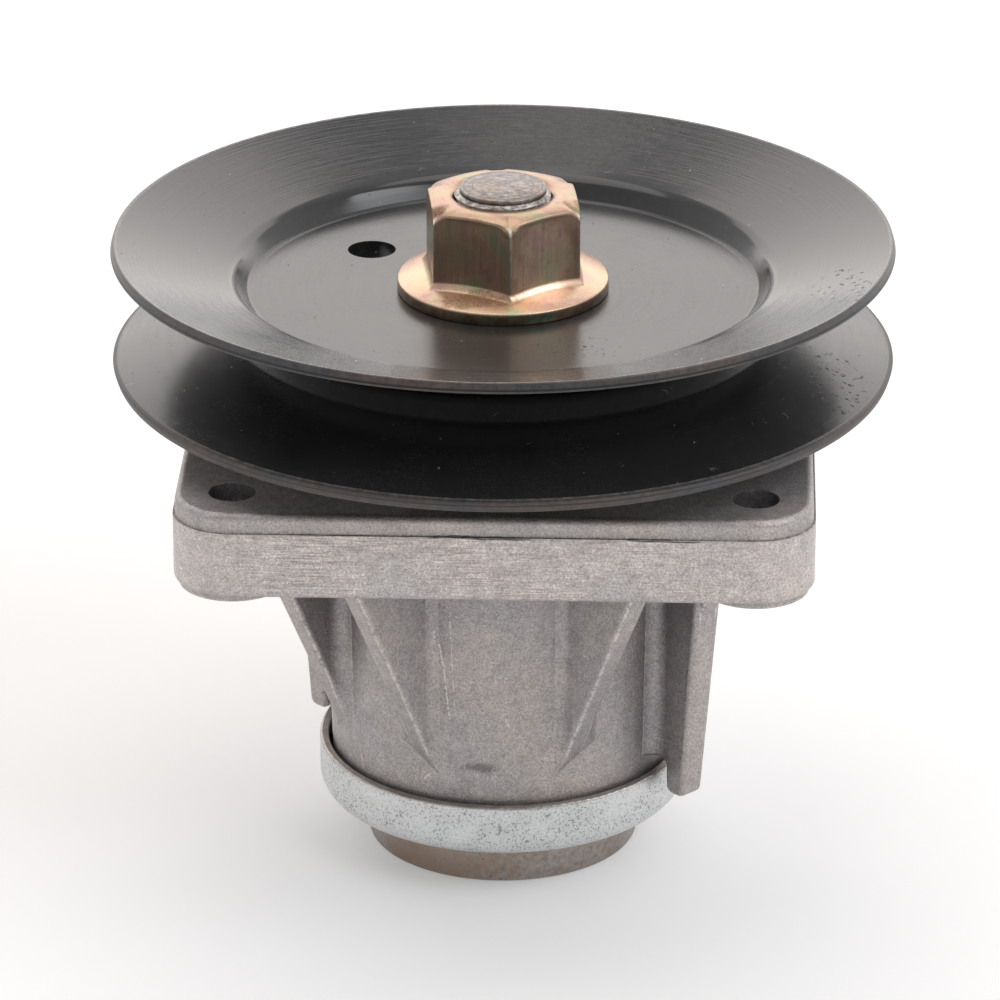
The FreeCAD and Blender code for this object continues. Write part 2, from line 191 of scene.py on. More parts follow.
def mix(factor, first, second, blend="MIX"):
    """Two colours mixed by a factor."""
    tree = tree_of(factor, first, second)
    inputs = {0: factor, 6: first, 7: second}
    return add(tree, "ShaderNodeMix", inputs, data_type="RGBA", blend_type=blend).outputs[2]


def tinted(mask, colour, tint):
    """Colour multiplied by a tint or a tone where a mask shows."""
    return mix(mask, colour, tint, "MULTIPLY")


def covered(colour, mask, share, cover):
    """Colour covered by another, up to a share, where a mask shows."""
    return mix(product(mask, share), colour, cover)


def bump(height, distance):
    """Normal of a relief whose height is in millimetres per unit."""
    return add(height.id_data, "ShaderNodeBump", {"Height": height, "Distance": distance * MM}).outputs[0]


def material(name):
    """New material, its surface shader and the place on it in millimetres."""
    made = bpy.data.materials.new(name)
    made.use_nodes = True
    tree = made.node_tree
    place = add(tree, "ShaderNodeTexCoord").outputs["Object"]
    place = vector("MULTIPLY", place, (1 / MM, 1 / MM, 1 / MM))
    return made, tree.nodes["Principled BSDF"], place


def shared(name, **inputs):
    """Makes a function of sockets into a shader group. An input is a float, or a vector where it is None."""
    def build(effect):
        tree = bpy.data.node_groups.new(name, "ShaderNodeTree")
        names = [key.replace("_", " ") for key in inputs]
        for key, default in zip(names, inputs.values()):
            kind = "NodeSocketVector" if default is None else "NodeSocketFloat"
            made = tree.interface.new_socket(key, in_out="INPUT", socket_type=kind)
            if default is not None:
                made.default_value = default
        start = tree.nodes.new("NodeGroupInput").outputs
        results = effect(*[start[key] for key in names])
        for key in results:
            tree.interface.new_socket(key, in_out="OUTPUT", socket_type="NodeSocketFloat")
        end = tree.nodes.new("NodeGroupOutput").inputs
        for key, value in results.items():
            connect(end[key], value)
        return tree
    return build


def use(effect, **inputs):
    """Outputs of a shared group placed in the tree of its inputs."""
    node = add(tree_of(*inputs.values()), "ShaderNodeGroup", node_tree=effect)
    feed(node, **inputs)
    return node.outputs


# Shared effects: each name becomes the shader group that its function describes
@shared("Round the shaft", Place=None)
def round_the_shaft(place):
    """Distance from the shaft's axis, turn about it and height, from a place in millimetres."""
    x, y, z = separated(place)
    turn = ratio(calc("ARCTAN2", y, x), FULL_TURN)
    return {"Radius": vector("LENGTH", combined(x, y), output="Value"), "Turn": turn, "Height": z}


@shared("Grain", Place=None, Grain_size=0.5, Contrast=1.0)
def grain(place, grain_size, contrast):
    """Grain of a cast or blasted surface: light and dark grains and their relief."""
    fine = noise(place, ratio(1.0, grain_size), 2.0, 0.7)
    return {"Tone": times_plus(minus(fine, 0.5), contrast, 0.5, clamp=True), "Relief": fine}


@shared("Tool marks", Place=None, Fineness=1.0)
def tool_marks(place, fineness):
    """Fine parallel marks of a tool, along the direction in which the place is squeezed."""
    return {"Marks": noise(place, fineness, 3.0, 0.65)}


@shared("Specks", Place=None, Spacing=3.0, Size=0.12, Share=0.3)
def specks(place, spacing, size, share):
    """Scattered round specks: only a share of the cells holds one, each of its own size."""
    inputs = {"Vector": place, "Scale": ratio(1.0, spacing), "Randomness": 1.0}
    cells = add(place.id_data, "ShaderNodeTexVoronoi", inputs).outputs
    draw, own_size, chance = add(place.id_data, "ShaderNodeSeparateColor", {0: cells["Color"]}).outputs
    radius = product(size, spread(own_size, 0, 1, 0.35, 1.0))
    inside = spread(ratio(cells["Distance"], radius), 1.0, 0.6)
    return {"Mask": product(inside, calc("LESS_THAN", draw, share)), "Chance": chance}


@shared("Hair lines", Place=None, Spacing=14.0, Width=0.06, Share=0.3)
def hair_lines(place, spacing, width, share):
    """Short thin bent lines, as of lint and handling scratches."""
    scale = ratio(1.0, spacing)
    bends = noise(place, scale, 1.0, 0.5)
    half = product(width, scale)
    line = spread(gap(bends, 0.5), half, product(half, 0.3))
    breaks = noise(place, 0.21, 1.0, 0.6)
    return {"Mask": product(line, spread(breaks, minus(0.74, product(share, 0.3)), 0.76))}


@shared("Rubbed edges", Place=None, Reach=0.5, Broken=0.5)
def rubbed_edges(place, reach, broken):
    """Rubbed edges: where the surface turns sharply, broken up by noise."""
    rounded_off = add(place.id_data, "ShaderNodeBevel", {"Radius": product(reach, MM)}, samples=3)
    flat = add(place.id_data, "ShaderNodeNewGeometry").outputs["Normal"]
    facing = vector("DOT_PRODUCT", rounded_off.outputs[0], flat, "Value")
    kept = spread(noise(place, 0.9, 2.0, 0.65), product(broken, 0.6), 0.7)
    return {"Mask": product(spread(facing, 0.985, 0.86), kept)}


@shared("Scratch", Place=None, Start=None, End=None, Width=0.2, Breaks=0.5)
def scratch(place, start, end, width, breaks):
    """One thin straight scratch between two points, thinned and broken by a noise value."""
    reach = vector("SUBTRACT", end, start)
    away = vector("SUBTRACT", place, start)
    along = vector("DOT_PRODUCT", away, reach, "Value")
    share = ratio(along, vector("DOT_PRODUCT", reach, reach, "Value"), clamp=True)
    distance = vector("DISTANCE", away, vector("MULTIPLY", reach, share), "Value")
    half = product(width, spread(breaks, 0.40, 0.58, 0.02, 1.0))
    return {"Mask": spread(ratio(distance, half), 1.0, 0.3)}


@shared("Patch", Place=None, Centre=None, Half_size=None, Breaks=0.5, Ragged=1.0)
def patch(place, centre, half_size, breaks, ragged):
    """Soft oval patch with its edge and body broken up by a noise value."""
    away = vector("DIVIDE", vector("SUBTRACT", place, centre), half_size)
    distance = vector("LENGTH", away, output="Value")
    broken = times_plus(minus(breaks, 0.5), ragged, spread(distance, 1.0, 0.0))
    return {"Mask": product(spread(broken, 0.3, 0.55), spread(distance, 1.05, 0.85))}


# Slanted ribs of the casting: a pair stands beside each diagonal of the flange
RIB_OFFSET = 10.0
RIB_TOE_RADIUS = 26.94
RIB_TOE_HEIGHT = 24.0
RIB_RISE = 2.123
RIB_TOE_HALF = 1.714
RIB_DRAFT = math.tan(math.radians(0.75))


@shared("Rib edges", Place=None, Width=0.25)
def rib_edges(place, width):
    """Two lines along the edges of each slanted rib's outer face."""
    polar = use(round_the_shaft, Place=place)
    eighth = FULL_TURN / 8
    angle = calc("WRAP", times_plus(polar["Turn"], FULL_TURN, -eighth), eighth, -eighth)
    along = product(polar["Radius"], calc("COSINE", angle))
    across = calc("ABSOLUTE", product(polar["Radius"], calc("SINE", angle)))
    rise = minus(polar["Height"], RIB_TOE_HEIGHT)
    face = times_plus(rise, 1 / RIB_RISE, RIB_TOE_RADIUS)
    on_face = product(spread(gap(along, face), 1.0, 0.6), spread(rise, 0.5, 2.0))
    half = times_plus(rise, RIB_DRAFT, RIB_TOE_HALF)
    inset = minus(half, gap(across, RIB_OFFSET))
    line = spread(ratio(gap(inset, width), width), 0.8, 0.3)
    return {"Mask": product(line, on_face)}


def patch_mask(place, spot, breaks, ragged):
    """Mask of one patch, given by its centre and half size."""
    centre, half = spot
    return use(patch, Place=place, Centre=centre, Half_size=half, Breaks=breaks, Ragged=ragged)["Mask"]


def worn_mask(place, reach, broken):
    """Mask of the rubbed edges."""
    return use(rubbed_edges, Place=place, Reach=reach, Broken=broken)["Mask"]


def straight_marks(place, squeeze):
    """Tool marks along an axis that is squeezed."""
    return use(tool_marks, Place=vector("MULTIPLY", place, squeeze), Fineness=1.0)["Marks"]


SPUN_TILT = 1.3


def spun_marks(place, radial, around):
    """Tool marks of spinning: scaled across them, and along them on a circle of a given length."""
    polar = use(round_the_shaft, Place=place)
    angle = product(polar["Turn"], FULL_TURN)
    ring = around / FULL_TURN
    across = times_plus(polar["Height"], SPUN_TILT, polar["Radius"])
    spun = combined(product(calc("COSINE", angle), ring),
                    product(calc("SINE", angle), ring), product(across, radial))
    return use(tool_marks, Place=spun, Fineness=1.0)["Marks"]


def unrolled_place(polar, radius):
    """Place on a round wall laid out flat: length along the turn, height and zero, in millimetres."""
    return combined(product(polar["Turn"], FULL_TURN * radius), polar["Height"])


def flat_place(place):
    """Place seen from above: height left out."""
    return vector("MULTIPLY", place, (1, 1, 0))


# Black paint: marks on the pulley seen from above by centre and half size, then its rings and colours
DULL_PATCH = ((11, 54, 0), (20, 10, 1))
CHIPPED_PATCH = ((54.5, -17, 0), (5.5, 12, 1))
GOUGED_PATCH = ((13, -26, 0), (8, 5, 1))
BLUE_REFLECTION_PATCH = ((-35.5, -37.3, 0), (10, 6.5, 1))
CONE_RADIUS = 45.0
DUSTY_FROM = -12.0
DUSTY_FULL = -36.0
RIM_LINE_RADIUS = 62.4
RIM_EDGE_RADIUS = 62.75
RIM_CREASE = 1.15
PAINT_CLEAN = (0.018, 0.018, 0.019, 1)
PAINT_FILMED = (0.036, 0.035, 0.035, 1)
PAINT_CHIP = (0.003, 0.003, 0.003, 1)
PAINT_BLUE_REFLECTION = (0.014, 0.020, 0.030, 1)
PAINT_DUSTY = (0.105, 0.103, 0.104, 1)
PAINT_CREASE = (0.006, 0.006, 0.006, 1)
DUST_COLOUR = (0.42, 0.40, 0.39, 1)
LINT_COLOUR = (0.34, 0.32, 0.31, 1)
RIM_WEAR_AND_HIGHLIGHT = (0.24, 0.225, 0.22, 1)
RIM_GREY = (0.050, 0.050, 0.055, 1)
RIM_BROWN = (0.080, 0.060, 0.052, 1)


def black_paint():
    """Glossy black paint on spun sheet: rings, dust, lint, a dull mottled patch, chips, a painted bluish
    reflection on the cone, and a worn rim with a painted highlight line.
    """
    made, shader, place = material("black_paint")
    polar = use(round_the_shaft, Place=place)
    radius = polar["Radius"]
    height = polar["Height"]
    groove, upper_top = node_heights("pulley_upper_half")[:2]
    lower_foot = node_heights("pulley_lower_half")[0]
    upper = spread(height, groove + 3, groove + 4)
    on_cone = product(spread(radius, CONE_RADIUS, CONE_RADIUS + 2), upper)
    spun = spun_marks(place, 2.0, 16.0)
    scatter = use(specks, Place=place, Spacing=2.3, Size=0.095, Share=0.75)
    dust = product(scatter["Mask"], calc("LESS_THAN", scatter["Chance"], 0.5))
    crumbs = minus(scatter["Mask"], dust)
    lint = use(hair_lines, Place=place, Spacing=4.0, Width=0.04, Share=0.16)["Mask"]
    cloud = noise(place, 0.06, 3.0, 0.6)
    mottle = noise(place, 0.85, 3.0, 0.7)
    film = spread(cloud, 0.35, 0.75, 0.0, 0.4)
    film = times_plus(spread(mottle, 0.42, 0.68), 0.22, film)
    colour = mix(film, PAINT_CLEAN, PAINT_FILMED)

    seen_above = flat_place(place)
    dull, chips, gouges = [patch_mask(seen_above, spot, mottle, 2.6)
                           for spot in (DULL_PATCH, CHIPPED_PATCH, GOUGED_PATCH)]
    dark = highest(product(chips, spread(mottle, 0.58, 0.64)),
                   product(gouges, spread(mottle, 0.60, 0.65)), crumbs)
    blotch = product(dull, spread(mottle, 0.48, 0.62))
    colour = mix(times_plus(blotch, 0.55, dark, clamp=True), colour, PAINT_CHIP)
    # Painted reflection: a bluish patch on the front-left of the cone.
    smudge = product(patch_mask(seen_above, BLUE_REFLECTION_PATCH, spun, 3.0), on_cone)
    colour = mix(smudge, colour, PAINT_BLUE_REFLECTION)
    backward = separated(place)[1]
    dusty = product(spread(backward, DUSTY_FROM, DUSTY_FULL), on_cone,
                    spread(spun, 0.32, 0.66, 0.3, 1.0), minus(1, smudge))
    colour = mix(dusty, colour, PAINT_DUSTY)
    colour = covered(colour, dust, 0.85, DUST_COLOUR)
    colour = covered(colour, lint, 0.45, LINT_COLOUR)

    edge = spread(radius, RIM_EDGE_RADIUS, RIM_EDGE_RADIUS + 0.2)
    # Pale line along the rim's top edge: partly rubbed paint, partly a painted highlight.
    line = spread(radius, RIM_LINE_RADIUS, RIM_LINE_RADIUS + 0.15)
    line = product(minus(line, edge, clamp=True), spread(mottle, 0.35, 0.65, 0.25, 0.8))
    colour = mix(line, colour, RIM_WEAR_AND_HIGHLIGHT)
    edge_colour = mix(spread(cloud, 0.42, 0.58), RIM_GREY, RIM_BROWN)
    edge_colour = tinted(1.0, edge_colour, spread(mottle, 0.3, 0.7, 0.6, 1.4))
    colour = mix(edge, colour, edge_colour)
    from_crease = calc("MINIMUM", gap(height, upper_top - RIM_CREASE), gap(height, lower_foot + RIM_CREASE))
    crease = product(edge, spread(from_crease, 0.22, 0.08))
    colour = mix(crease, colour, PAINT_CREASE)

    rough = times_plus(spun, 0.12, times_plus(film, 0.14, 0.03))
    for mask, more in ((highest(line, edge), 0.25), (blotch, 0.35), (minus(1, upper), 0.12)):
        rough = times_plus(mask, more, rough)
    rough = times_plus(highest(dark, dust), 0.4, rough, clamp=True)
    rings = product(spun, spread(on_cone, 0.0, 1.0, 0.4, 3.2))
    relief = times_plus(mottle, 0.35, rings)
    feed(shader, Base_Color=colour, Roughness=rough, IOR=1.55, Normal=bump(relief, 0.012))
    return made


# Gold zinc: places on the nut by centre and half size, then its tints and colours
STAINS = (((-4.5, -13.4, 99.6), (10.5, 4.2, 2.2)), ((-10.2, -6.8, 111.9), (3.0, 3.0, 1.5)),
          ((1.5, -12.9, 110.6), (1.9, 1.6, 1.5)), ((12.4, -2.4, 112.0), (2.4, 2.6, 1.2)))
GREEN_PATCHES = (((-11.8, -2.0, 105.4), (2.5, 9.0, 4.2)), ((6.5, -15.6, 97.6), (5.0, 3.0, 1.3)))
CLEAN_PATCH = ((7.6, -10.4, 104.5), (10.5, 8.0, 11.0))
NUT_CORNER_ANGLE = -83.0
GOLD_TINTS = ((0.30, (0.46, 0.46, 0.30, 1)), (0.38, (0.57, 0.45, 0.30, 1)), (0.46, (0.62, 0.445, 0.31, 1)),
              (0.54, (0.59, 0.40, 0.285, 1)), (0.61, (0.61, 0.39, 0.31, 1)), (0.70, (0.53, 0.335, 0.28, 1)))
CLEAN_TINT = (1.55, 1.62, 1.72, 1)
CROWN_SHADE_TINT = (0.72, 0.72, 0.70, 1)
FLANGE_SHADE_TINT = (0.96, 0.97, 0.98, 1)
GREEN_COLOUR = (0.37, 0.50, 0.33, 1)
STAIN_COLOUR = (0.22, 0.125, 0.06, 1)
DARK_DOT = (0.14, 0.09, 0.055, 1)
PALE_DOT = (0.86, 0.78, 0.68, 1)
GOLD_WORN_AND_HIGHLIGHT = (0.90, 0.84, 0.74, 1)


def gold_zinc():
    """Yellow passivated zinc: gold with pink and green tints, brown smudges, vertical broach marks, painted
    shade on its level faces and a painted highlight on its front corner.
    """
    made, shader, place = material("gold_zinc")
    ramp = add(place.id_data, "ShaderNodeValToRGB", {0: noise(place, 0.17, 2.0, 0.5, 0.8)})
    stops = ramp.color_ramp.elements
    for stop, (position, tint) in zip((stops[0], stops[1]), (GOLD_TINTS[0], GOLD_TINTS[-1])):
        stop.position = position
        stop.color = tint
    for position, tint in GOLD_TINTS[1:-1]:
        stops.new(position).color = tint
    smudge = noise(place, 0.5, 4.0, 0.7)
    grainy = noise(place, 4.2, 2.0, 0.6)
    upright = straight_marks(place, (3.0, 3.0, 0.14))
    colour = tinted(1.0, ramp.outputs[0], spread(upright, 0.3, 0.7, 0.88, 1.08))
    green = highest(*[patch_mask(place, spot, smudge, 0.8) for spot in GREEN_PATCHES])
    colour = covered(colour, green, 0.85, GREEN_COLOUR)
    colour = tinted(patch_mask(place, CLEAN_PATCH, smudge, 0.6), colour, CLEAN_TINT)
    stains = [patch_mask(place, spot, smudge, 1.2) for spot in STAINS]
    stained = highest(spread(smudge, 0.58, 0.72, 0.0, 0.5), *stains)
    stained = product(stained, spread(grainy, 0.34, 0.62, 0.25, 0.85))
    colour = mix(stained, colour, STAIN_COLOUR)
    scatter = use(specks, Place=place, Spacing=0.8, Size=0.16, Share=0.35)
    dots = mix(calc("LESS_THAN", scatter["Chance"], 0.4), DARK_DOT, PALE_DOT)
    colour = covered(colour, scatter["Mask"], 0.5, dots)

    foot, top, rim = node_heights("flange_nut")
    polar = use(round_the_shaft, Place=place)
    height = polar["Height"]
    side = product(spread(polar["Radius"], rim - 0.2, rim - 0.05), spread(height, foot + 1.75, foot + 1.5))
    colour = tinted(side, colour, spread(smudge, 0.35, 0.65, 0.35, 0.75))
    # Painted shade: the crown's and the flange's level faces are darkened, the crown much more than the
    # flange.
    crown = spread(height, top - 1.7, top - 1.1)
    flange = spread(height, foot + 3.9, foot + 3.3)
    colour = tinted(crown, colour, CROWN_SHADE_TINT)
    colour = tinted(flange, colour, FLANGE_SHADE_TINT)
    # Painted highlight: a pale line down the one hexagon corner that faces the camera, added to the rubbed
    # edges.
    angle = times_plus(polar["Turn"], 360, -NUT_CORNER_ANGLE)
    from_corner = calc("ABSOLUTE", calc("WRAP", angle, 30, -30))
    corner = product(spread(from_corner, 1.3, 0.5), minus(1, crown), minus(1, flange),
                     spread(smudge, 0.38, 0.52, 0.2, 1.0))
    worn = highest(worn_mask(place, 0.28, 0.3), corner)
    colour = covered(colour, worn, 0.75, GOLD_WORN_AND_HIGHLIGHT)
    rough = times_plus(stained, 0.2, times_plus(upright, 0.22, 0.22), clamp=True)
    relief = times_plus(grainy, 0.45, times_plus(smudge, 0.5, upright))
    feed(shader, Base_Color=colour, Metallic=1.0, Roughness=rough, Normal=bump(relief, 0.035))
    return made


# Zinc plate
ZINC_PALE = (0.80, 0.812, 0.815, 1)
ZINC_GREY = (0.70, 0.715, 0.71, 1)
ZINC_SPOT = (0.19, 0.20, 0.195, 1)
ZINC_GRAIN = (0.40, 0.41, 0.41, 1)
ZINC_BROWN_AND_SHADOW = (0.27, 0.205, 0.16, 1)


def zinc_plate():
    """Bright blue-grey zinc on pressed sheet, with dark speckles."""
    made, shader, place = material("zinc_plate")
    height = use(round_the_shaft, Place=place)["Height"]
    cloud = noise(place, 0.24, 3.0, 0.6)
    dots = noise(place, 2.7, 1.0, 0.6)
    fine = use(grain, Place=place, Grain_size=0.24, Contrast=3.0)
    colour = mix(spread(cloud, 0.35, 0.7), ZINC_PALE, ZINC_GREY)
    spots = product(spread(dots, 0.55, 0.66), spread(cloud, 0.36, 0.62, 0.3, 0.85))
    colour = mix(spots, colour, ZINC_SPOT)
    colour = mix(spread(fine["Tone"], 0.2, 1.0, 0.0, 0.4), colour, ZINC_GRAIN)
    foot, rim = node_heights("dust_cup")[:2]
    # Brown at the rim and on rubbed edges, and a painted shadow as a brown band at the cup's foot.
    brown = highest(product(spread(height, rim - 0.5, rim - 0.1), 0.7),
                    product(spread(height, foot + 0.7, foot + 0.1), 0.4),
                    product(worn_mask(place, 0.4, 0.3), 0.4))
    brown = product(brown, spread(cloud, 0.3, 0.6, 0.6, 1.0))
    colour = mix(brown, colour, ZINC_BROWN_AND_SHADOW)
    rough = times_plus(fine["Tone"], 0.16, times_plus(spots, 0.2, 0.28))
    relief = times_plus(dots, -0.6, fine["Relief"])
    feed(shader, Base_Color=colour, Metallic=0.8, Roughness=rough, Normal=bump(relief, 0.02))
    return made


# Shaft steel: rings on the shaft's end, start of its bright lip, and the rust on the hub laid out flat
END_RINGS = (6.35, 4.9)
LIP_RADIUS = 7.1
HUB_RUST = ((-49, 4, 0), (20, 14, 1))
STEEL_GREY = (0.38, 0.352, 0.342, 1)
STEEL_BROWN = (0.34, 0.28, 0.24, 1)
STEEL_RING = (0.09, 0.08, 0.075, 1)
STEEL_LIP = (0.50, 0.47, 0.46, 1)
STEEL_RUST = (0.32, 0.20, 0.12, 1)
STEEL_PIT = (0.05, 0.042, 0.038, 1)
STEEL_WORN = (0.62, 0.58, 0.55, 1)


def shaft_steel():
    """Turned bare steel: brown-grey, oiled and pitted at its end, with fine turning marks and rust."""
    made, shader, place = material("shaft_steel")
    polar = use(round_the_shaft, Place=place)
    radius = polar["Radius"]
    turning = spun_marks(place, 4.0, 9.0)
    cloud = noise(place, 0.16, 4.0, 0.65)
    mottle = noise(place, 1.1, 3.0, 0.7)
    colour = mix(spread(cloud, 0.36, 0.66), STEEL_GREY, STEEL_BROWN)
    colour = tinted(1.0, colour, spread(mottle, 0.3, 0.7, 0.72, 1.28))
    top, hub = node_heights("spindle_shaft")[1:]
    at_end = spread(polar["Height"], top - 20, top - 10)
    end_tone = product(spread(mottle, 0.34, 0.62, 0.42, 0.82), spread(turning, 0.3, 0.7, 0.85, 1.15))
    colour = tinted(at_end, colour, end_tone)
    for ring_radius in END_RINGS:
        ring = spread(gap(radius, ring_radius), 0.14, 0.05)
        ring = product(ring, at_end, spread(mottle, 0.35, 0.6, 0.2, 0.8))
        colour = mix(ring, colour, STEEL_RING)
    lip = product(at_end, spread(radius, LIP_RADIUS - 0.05, LIP_RADIUS + 0.1),
                  spread(mottle, 0.45, 0.60, 0.1, 0.9))
    colour = mix(lip, colour, STEEL_LIP)
    rust = product(patch_mask(unrolled_place(polar, hub), HUB_RUST, cloud, 0.8),
                   spread(radius, hub - 3, hub - 0.3), spread(mottle, 0.35, 0.65, 0.2, 0.6))
    rust = highest(rust, spread(cloud, 0.62, 0.76, 0.0, 0.5))
    colour = mix(rust, colour, STEEL_RUST)
    pits = use(specks, Place=place, Spacing=1.3, Size=0.2, Share=0.4)["Mask"]
    colour = covered(colour, pits, 0.6, STEEL_PIT)
    colour = covered(colour, worn_mask(place, 0.35, 0.4), 0.6, STEEL_WORN)
    rough = times_plus(turning, 0.2, times_plus(mottle, 0.3, 0.16))
    relief = times_plus(mottle, 1.8, turning)
    feed(shader, Base_Color=colour, Metallic=0.9, Roughness=rough, Normal=bump(relief, 0.04))
    return made


# Cast aluminium: heights and radii over which its zones begin, patches by centre and half size,
# scratches by their two ends and width, and its tints and colours
FLANGE_OUTSIDE = (46.0, 48.0)
FLANGE_SIDE_FOOT = (63.3, 64.6)
FLANGE_SIDE_TOP = (77.4, 76.8)
FLANGE_TOP = (77.3, 77.45)
BELOW_FLANGE = (56.0, 55.0)
RECESS_REACH = 18.0
SEAM_HEIGHT = 74.1
SEAM_LIP = 0.34
CRACK_FADE = (65.0, 60.0)
STREAK_FADE = (66.0, 60.0)
SEAM_CRACKS = (((-2.5, -50.8, 74), (14, 8, 8)), ((27, -50.8, 74), (9, 8, 8)))
SANDED_PATCH = ((-38, -50.8, 69), (24, 10, 14))
WALL_RADIUS = 28.65
WALL_SCRATCHES = (((-52.5, 51.0), (-51.85, 34.0), 0.11), ((-55.1, 47.9), (-54.9, 45.8), 0.16),
                  ((-54.25, 45.3), (-53.6, 41.1), 0.30), ((-53.6, 41.1), (-52.74, 32.2), 0.20),
                  ((-71.7, 21.8), (-70.7, 18.1), 0.22), ((-57.6, 20.1), (-56.2, 21.7), 0.20),
                  ((-43.65, 32.8), (-42.95, 31.2), 0.16))
TOP_SCRATCHES = (((-31.6, -49.0), (-28.7, -42.2), 0.2), ((31.3, -46.8), (29.2, -41.9), 0.2))
GOUGE = ((-47.8, 23.7, 0), (4.8, 1.3, 1))
CAST_GREY = (0.415, 0.393, 0.393, 1)
CAST_WARM = (0.485, 0.440, 0.420, 1)
RECESS_SHADE_TINT = (0.58, 0.59, 0.62, 1)
SANDED_TINT = (1.27, 1.26, 1.25, 1)
TOP_PALE_AND_LIT_TINT = (1.2, 1.2, 1.2, 1)
CAST_CRACK = (0.035, 0.031, 0.029, 1)
CAST_LIP_HIGHLIGHT = (0.78, 0.74, 0.71, 1)
CAST_PIT = (0.085, 0.077, 0.074, 1)
CAST_GOUGE = (0.10, 0.09, 0.085, 1)
CAST_BRIGHT = (0.80, 0.76, 0.73, 1)
CAST_WORN = (0.80, 0.76, 0.74, 1)


def cast_aluminium():
    """Grainy die casting: sanded flange sides, a cracked parting line, pits, scratches and rubbed edges, with
    painted shade in its recesses, a painted highlight above the seam and painted light on its top face.
    """
    made, shader, place = material("cast_aluminium")
    polar = use(round_the_shaft, Place=place)
    radius = polar["Radius"]
    height = polar["Height"]
    fine = use(grain, Place=place, Grain_size=0.24, Contrast=3.0)
    coarse = noise(place, 2.2, 2.0, 0.6)
    blotch = noise(place, 0.45, 3.0, 0.65)
    cloud = noise(place, 0.05, 3.0, 0.6)
    colour = mix(spread(cloud, 0.38, 0.66), CAST_GREY, CAST_WARM)
    colour = tinted(1.0, colour, spread(fine["Tone"], 0.0, 1.0, 0.70, 1.30))
    colour = tinted(1.0, colour, spread(coarse, 0.32, 0.68, 0.84, 1.16))
    colour = tinted(1.0, colour, spread(blotch, 0.3, 0.7, 0.88, 1.12))
    # Painted shade: the colour is darkened and turned bluish in recesses, under the flange and between the
    # ribs, where shade falls.
    reach = {"Distance": RECESS_REACH * MM}
    recess = add(place.id_data, "ShaderNodeAmbientOcclusion", reach, samples=3, only_local=True)
    colour = tinted(spread(recess.outputs["AO"], 0.85, 0.35), colour, RECESS_SHADE_TINT)

    outside = spread(radius, *FLANGE_OUTSIDE)
    side = product(spread(height, *FLANGE_SIDE_FOOT), outside, spread(height, *FLANGE_SIDE_TOP))
    wander = times_plus(minus(cloud, 0.5), 1.6, SEAM_HEIGHT)
    wander = times_plus(minus(blotch, 0.5), 0.6, wander)
    over_seam = minus(height, wander)
    below_seam = product(side, spread(over_seam, 0.2, -0.2))
    sanding = straight_marks(place, (0.16, 0.16, 3.8))
    sanded = highest(spread(cloud, 0.44, 0.60, 0.3, 1.0), patch_mask(place, SANDED_PATCH, blotch, 0.5))
    streaks = product(below_seam, spread(radius, *STREAK_FADE, 0.25, 1.0), sanded)
    colour = tinted(below_seam, colour, SANDED_TINT)
    colour = tinted(streaks, colour, spread(sanding, 0.30, 0.70, 0.62, 1.36))

    opened = highest(*[patch_mask(place, spot, 0.5, 0.0) for spot in SEAM_CRACKS])
    open_width = product(spread(blotch, 0.34, 0.60, 0.2, 1.0), times_plus(opened, 0.32, 0.05))
    crack = spread(ratio(calc("ABSOLUTE", over_seam), open_width), 1.0, 0.5)
    crack = product(crack, outside, highest(opened, spread(blotch, 0.46, 0.56)),
                    spread(radius, *CRACK_FADE, 0.15, 1.0))
    colour = covered(colour, crack, 0.92, CAST_CRACK)
    # Painted highlight: a pale line just above the parting seam, where its small ledge would catch the light.
    lip = product(spread(gap(over_seam, SEAM_LIP), 0.16, 0.06), outside,
                  spread(coarse, 0.45, 0.62, 0.0, 0.6))
    colour = mix(lip, colour, CAST_LIP_HIGHLIGHT)

    wall = unrolled_place(polar, WALL_RADIUS)
    scored = 0.0
    for begin, finish, width in WALL_SCRATCHES:
        line = use(scratch, Place=wall, Start=(*begin, 0), End=(*finish, 0), Width=width, Breaks=coarse)
        scored = highest(scored, line["Mask"])
    scored = product(scored, spread(height, *BELOW_FLANGE))
    above = spread(height, *FLANGE_TOP)
    top = flat_place(place)
    for begin, finish, width in TOP_SCRATCHES:
        line = use(scratch, Place=top, Start=(*begin, 0), End=(*finish, 0), Width=width, Breaks=0.6)
        scored = highest(scored, product(line["Mask"], above, 0.4))
    colour = covered(colour, scored, 0.75, CAST_BRIGHT)
    scatter = use(specks, Place=place, Spacing=1.15, Size=0.17, Share=0.5)
    spots = mix(calc("LESS_THAN", scatter["Chance"], 0.35), CAST_PIT, CAST_BRIGHT)
    colour = covered(colour, scatter["Mask"], 0.5, spots)
    colour = covered(colour, patch_mask(wall, GOUGE, coarse, 2.0), 0.55, CAST_GOUGE)
    ribs = product(use(rib_edges, Place=place, Width=0.27)["Mask"],
                   spread(calc("ADD", coarse, blotch), 0.86, 1.12, 0.1, 1.0))
    worn = highest(worn_mask(place, 0.5, 0.5), ribs)
    colour = covered(colour, worn, 0.7, CAST_WORN)
    # Top face made paler: partly its paler grain, partly painted light.
    colour = tinted(above, colour, TOP_PALE_AND_LIT_TINT)

    rough = times_plus(fine["Tone"], 0.2, 0.40)
    relief = times_plus(coarse, 0.8, times_plus(blotch, 1.2, fine["Relief"]))
    relief = times_plus(product(sanding, streaks), 1.4, relief)
    feed(shader, Base_Color=colour, Metallic=0.85, Roughness=rough, Normal=bump(relief, 0.07))
    return made


METAL_WORN = (0.75, 0.74, 0.72, 1)


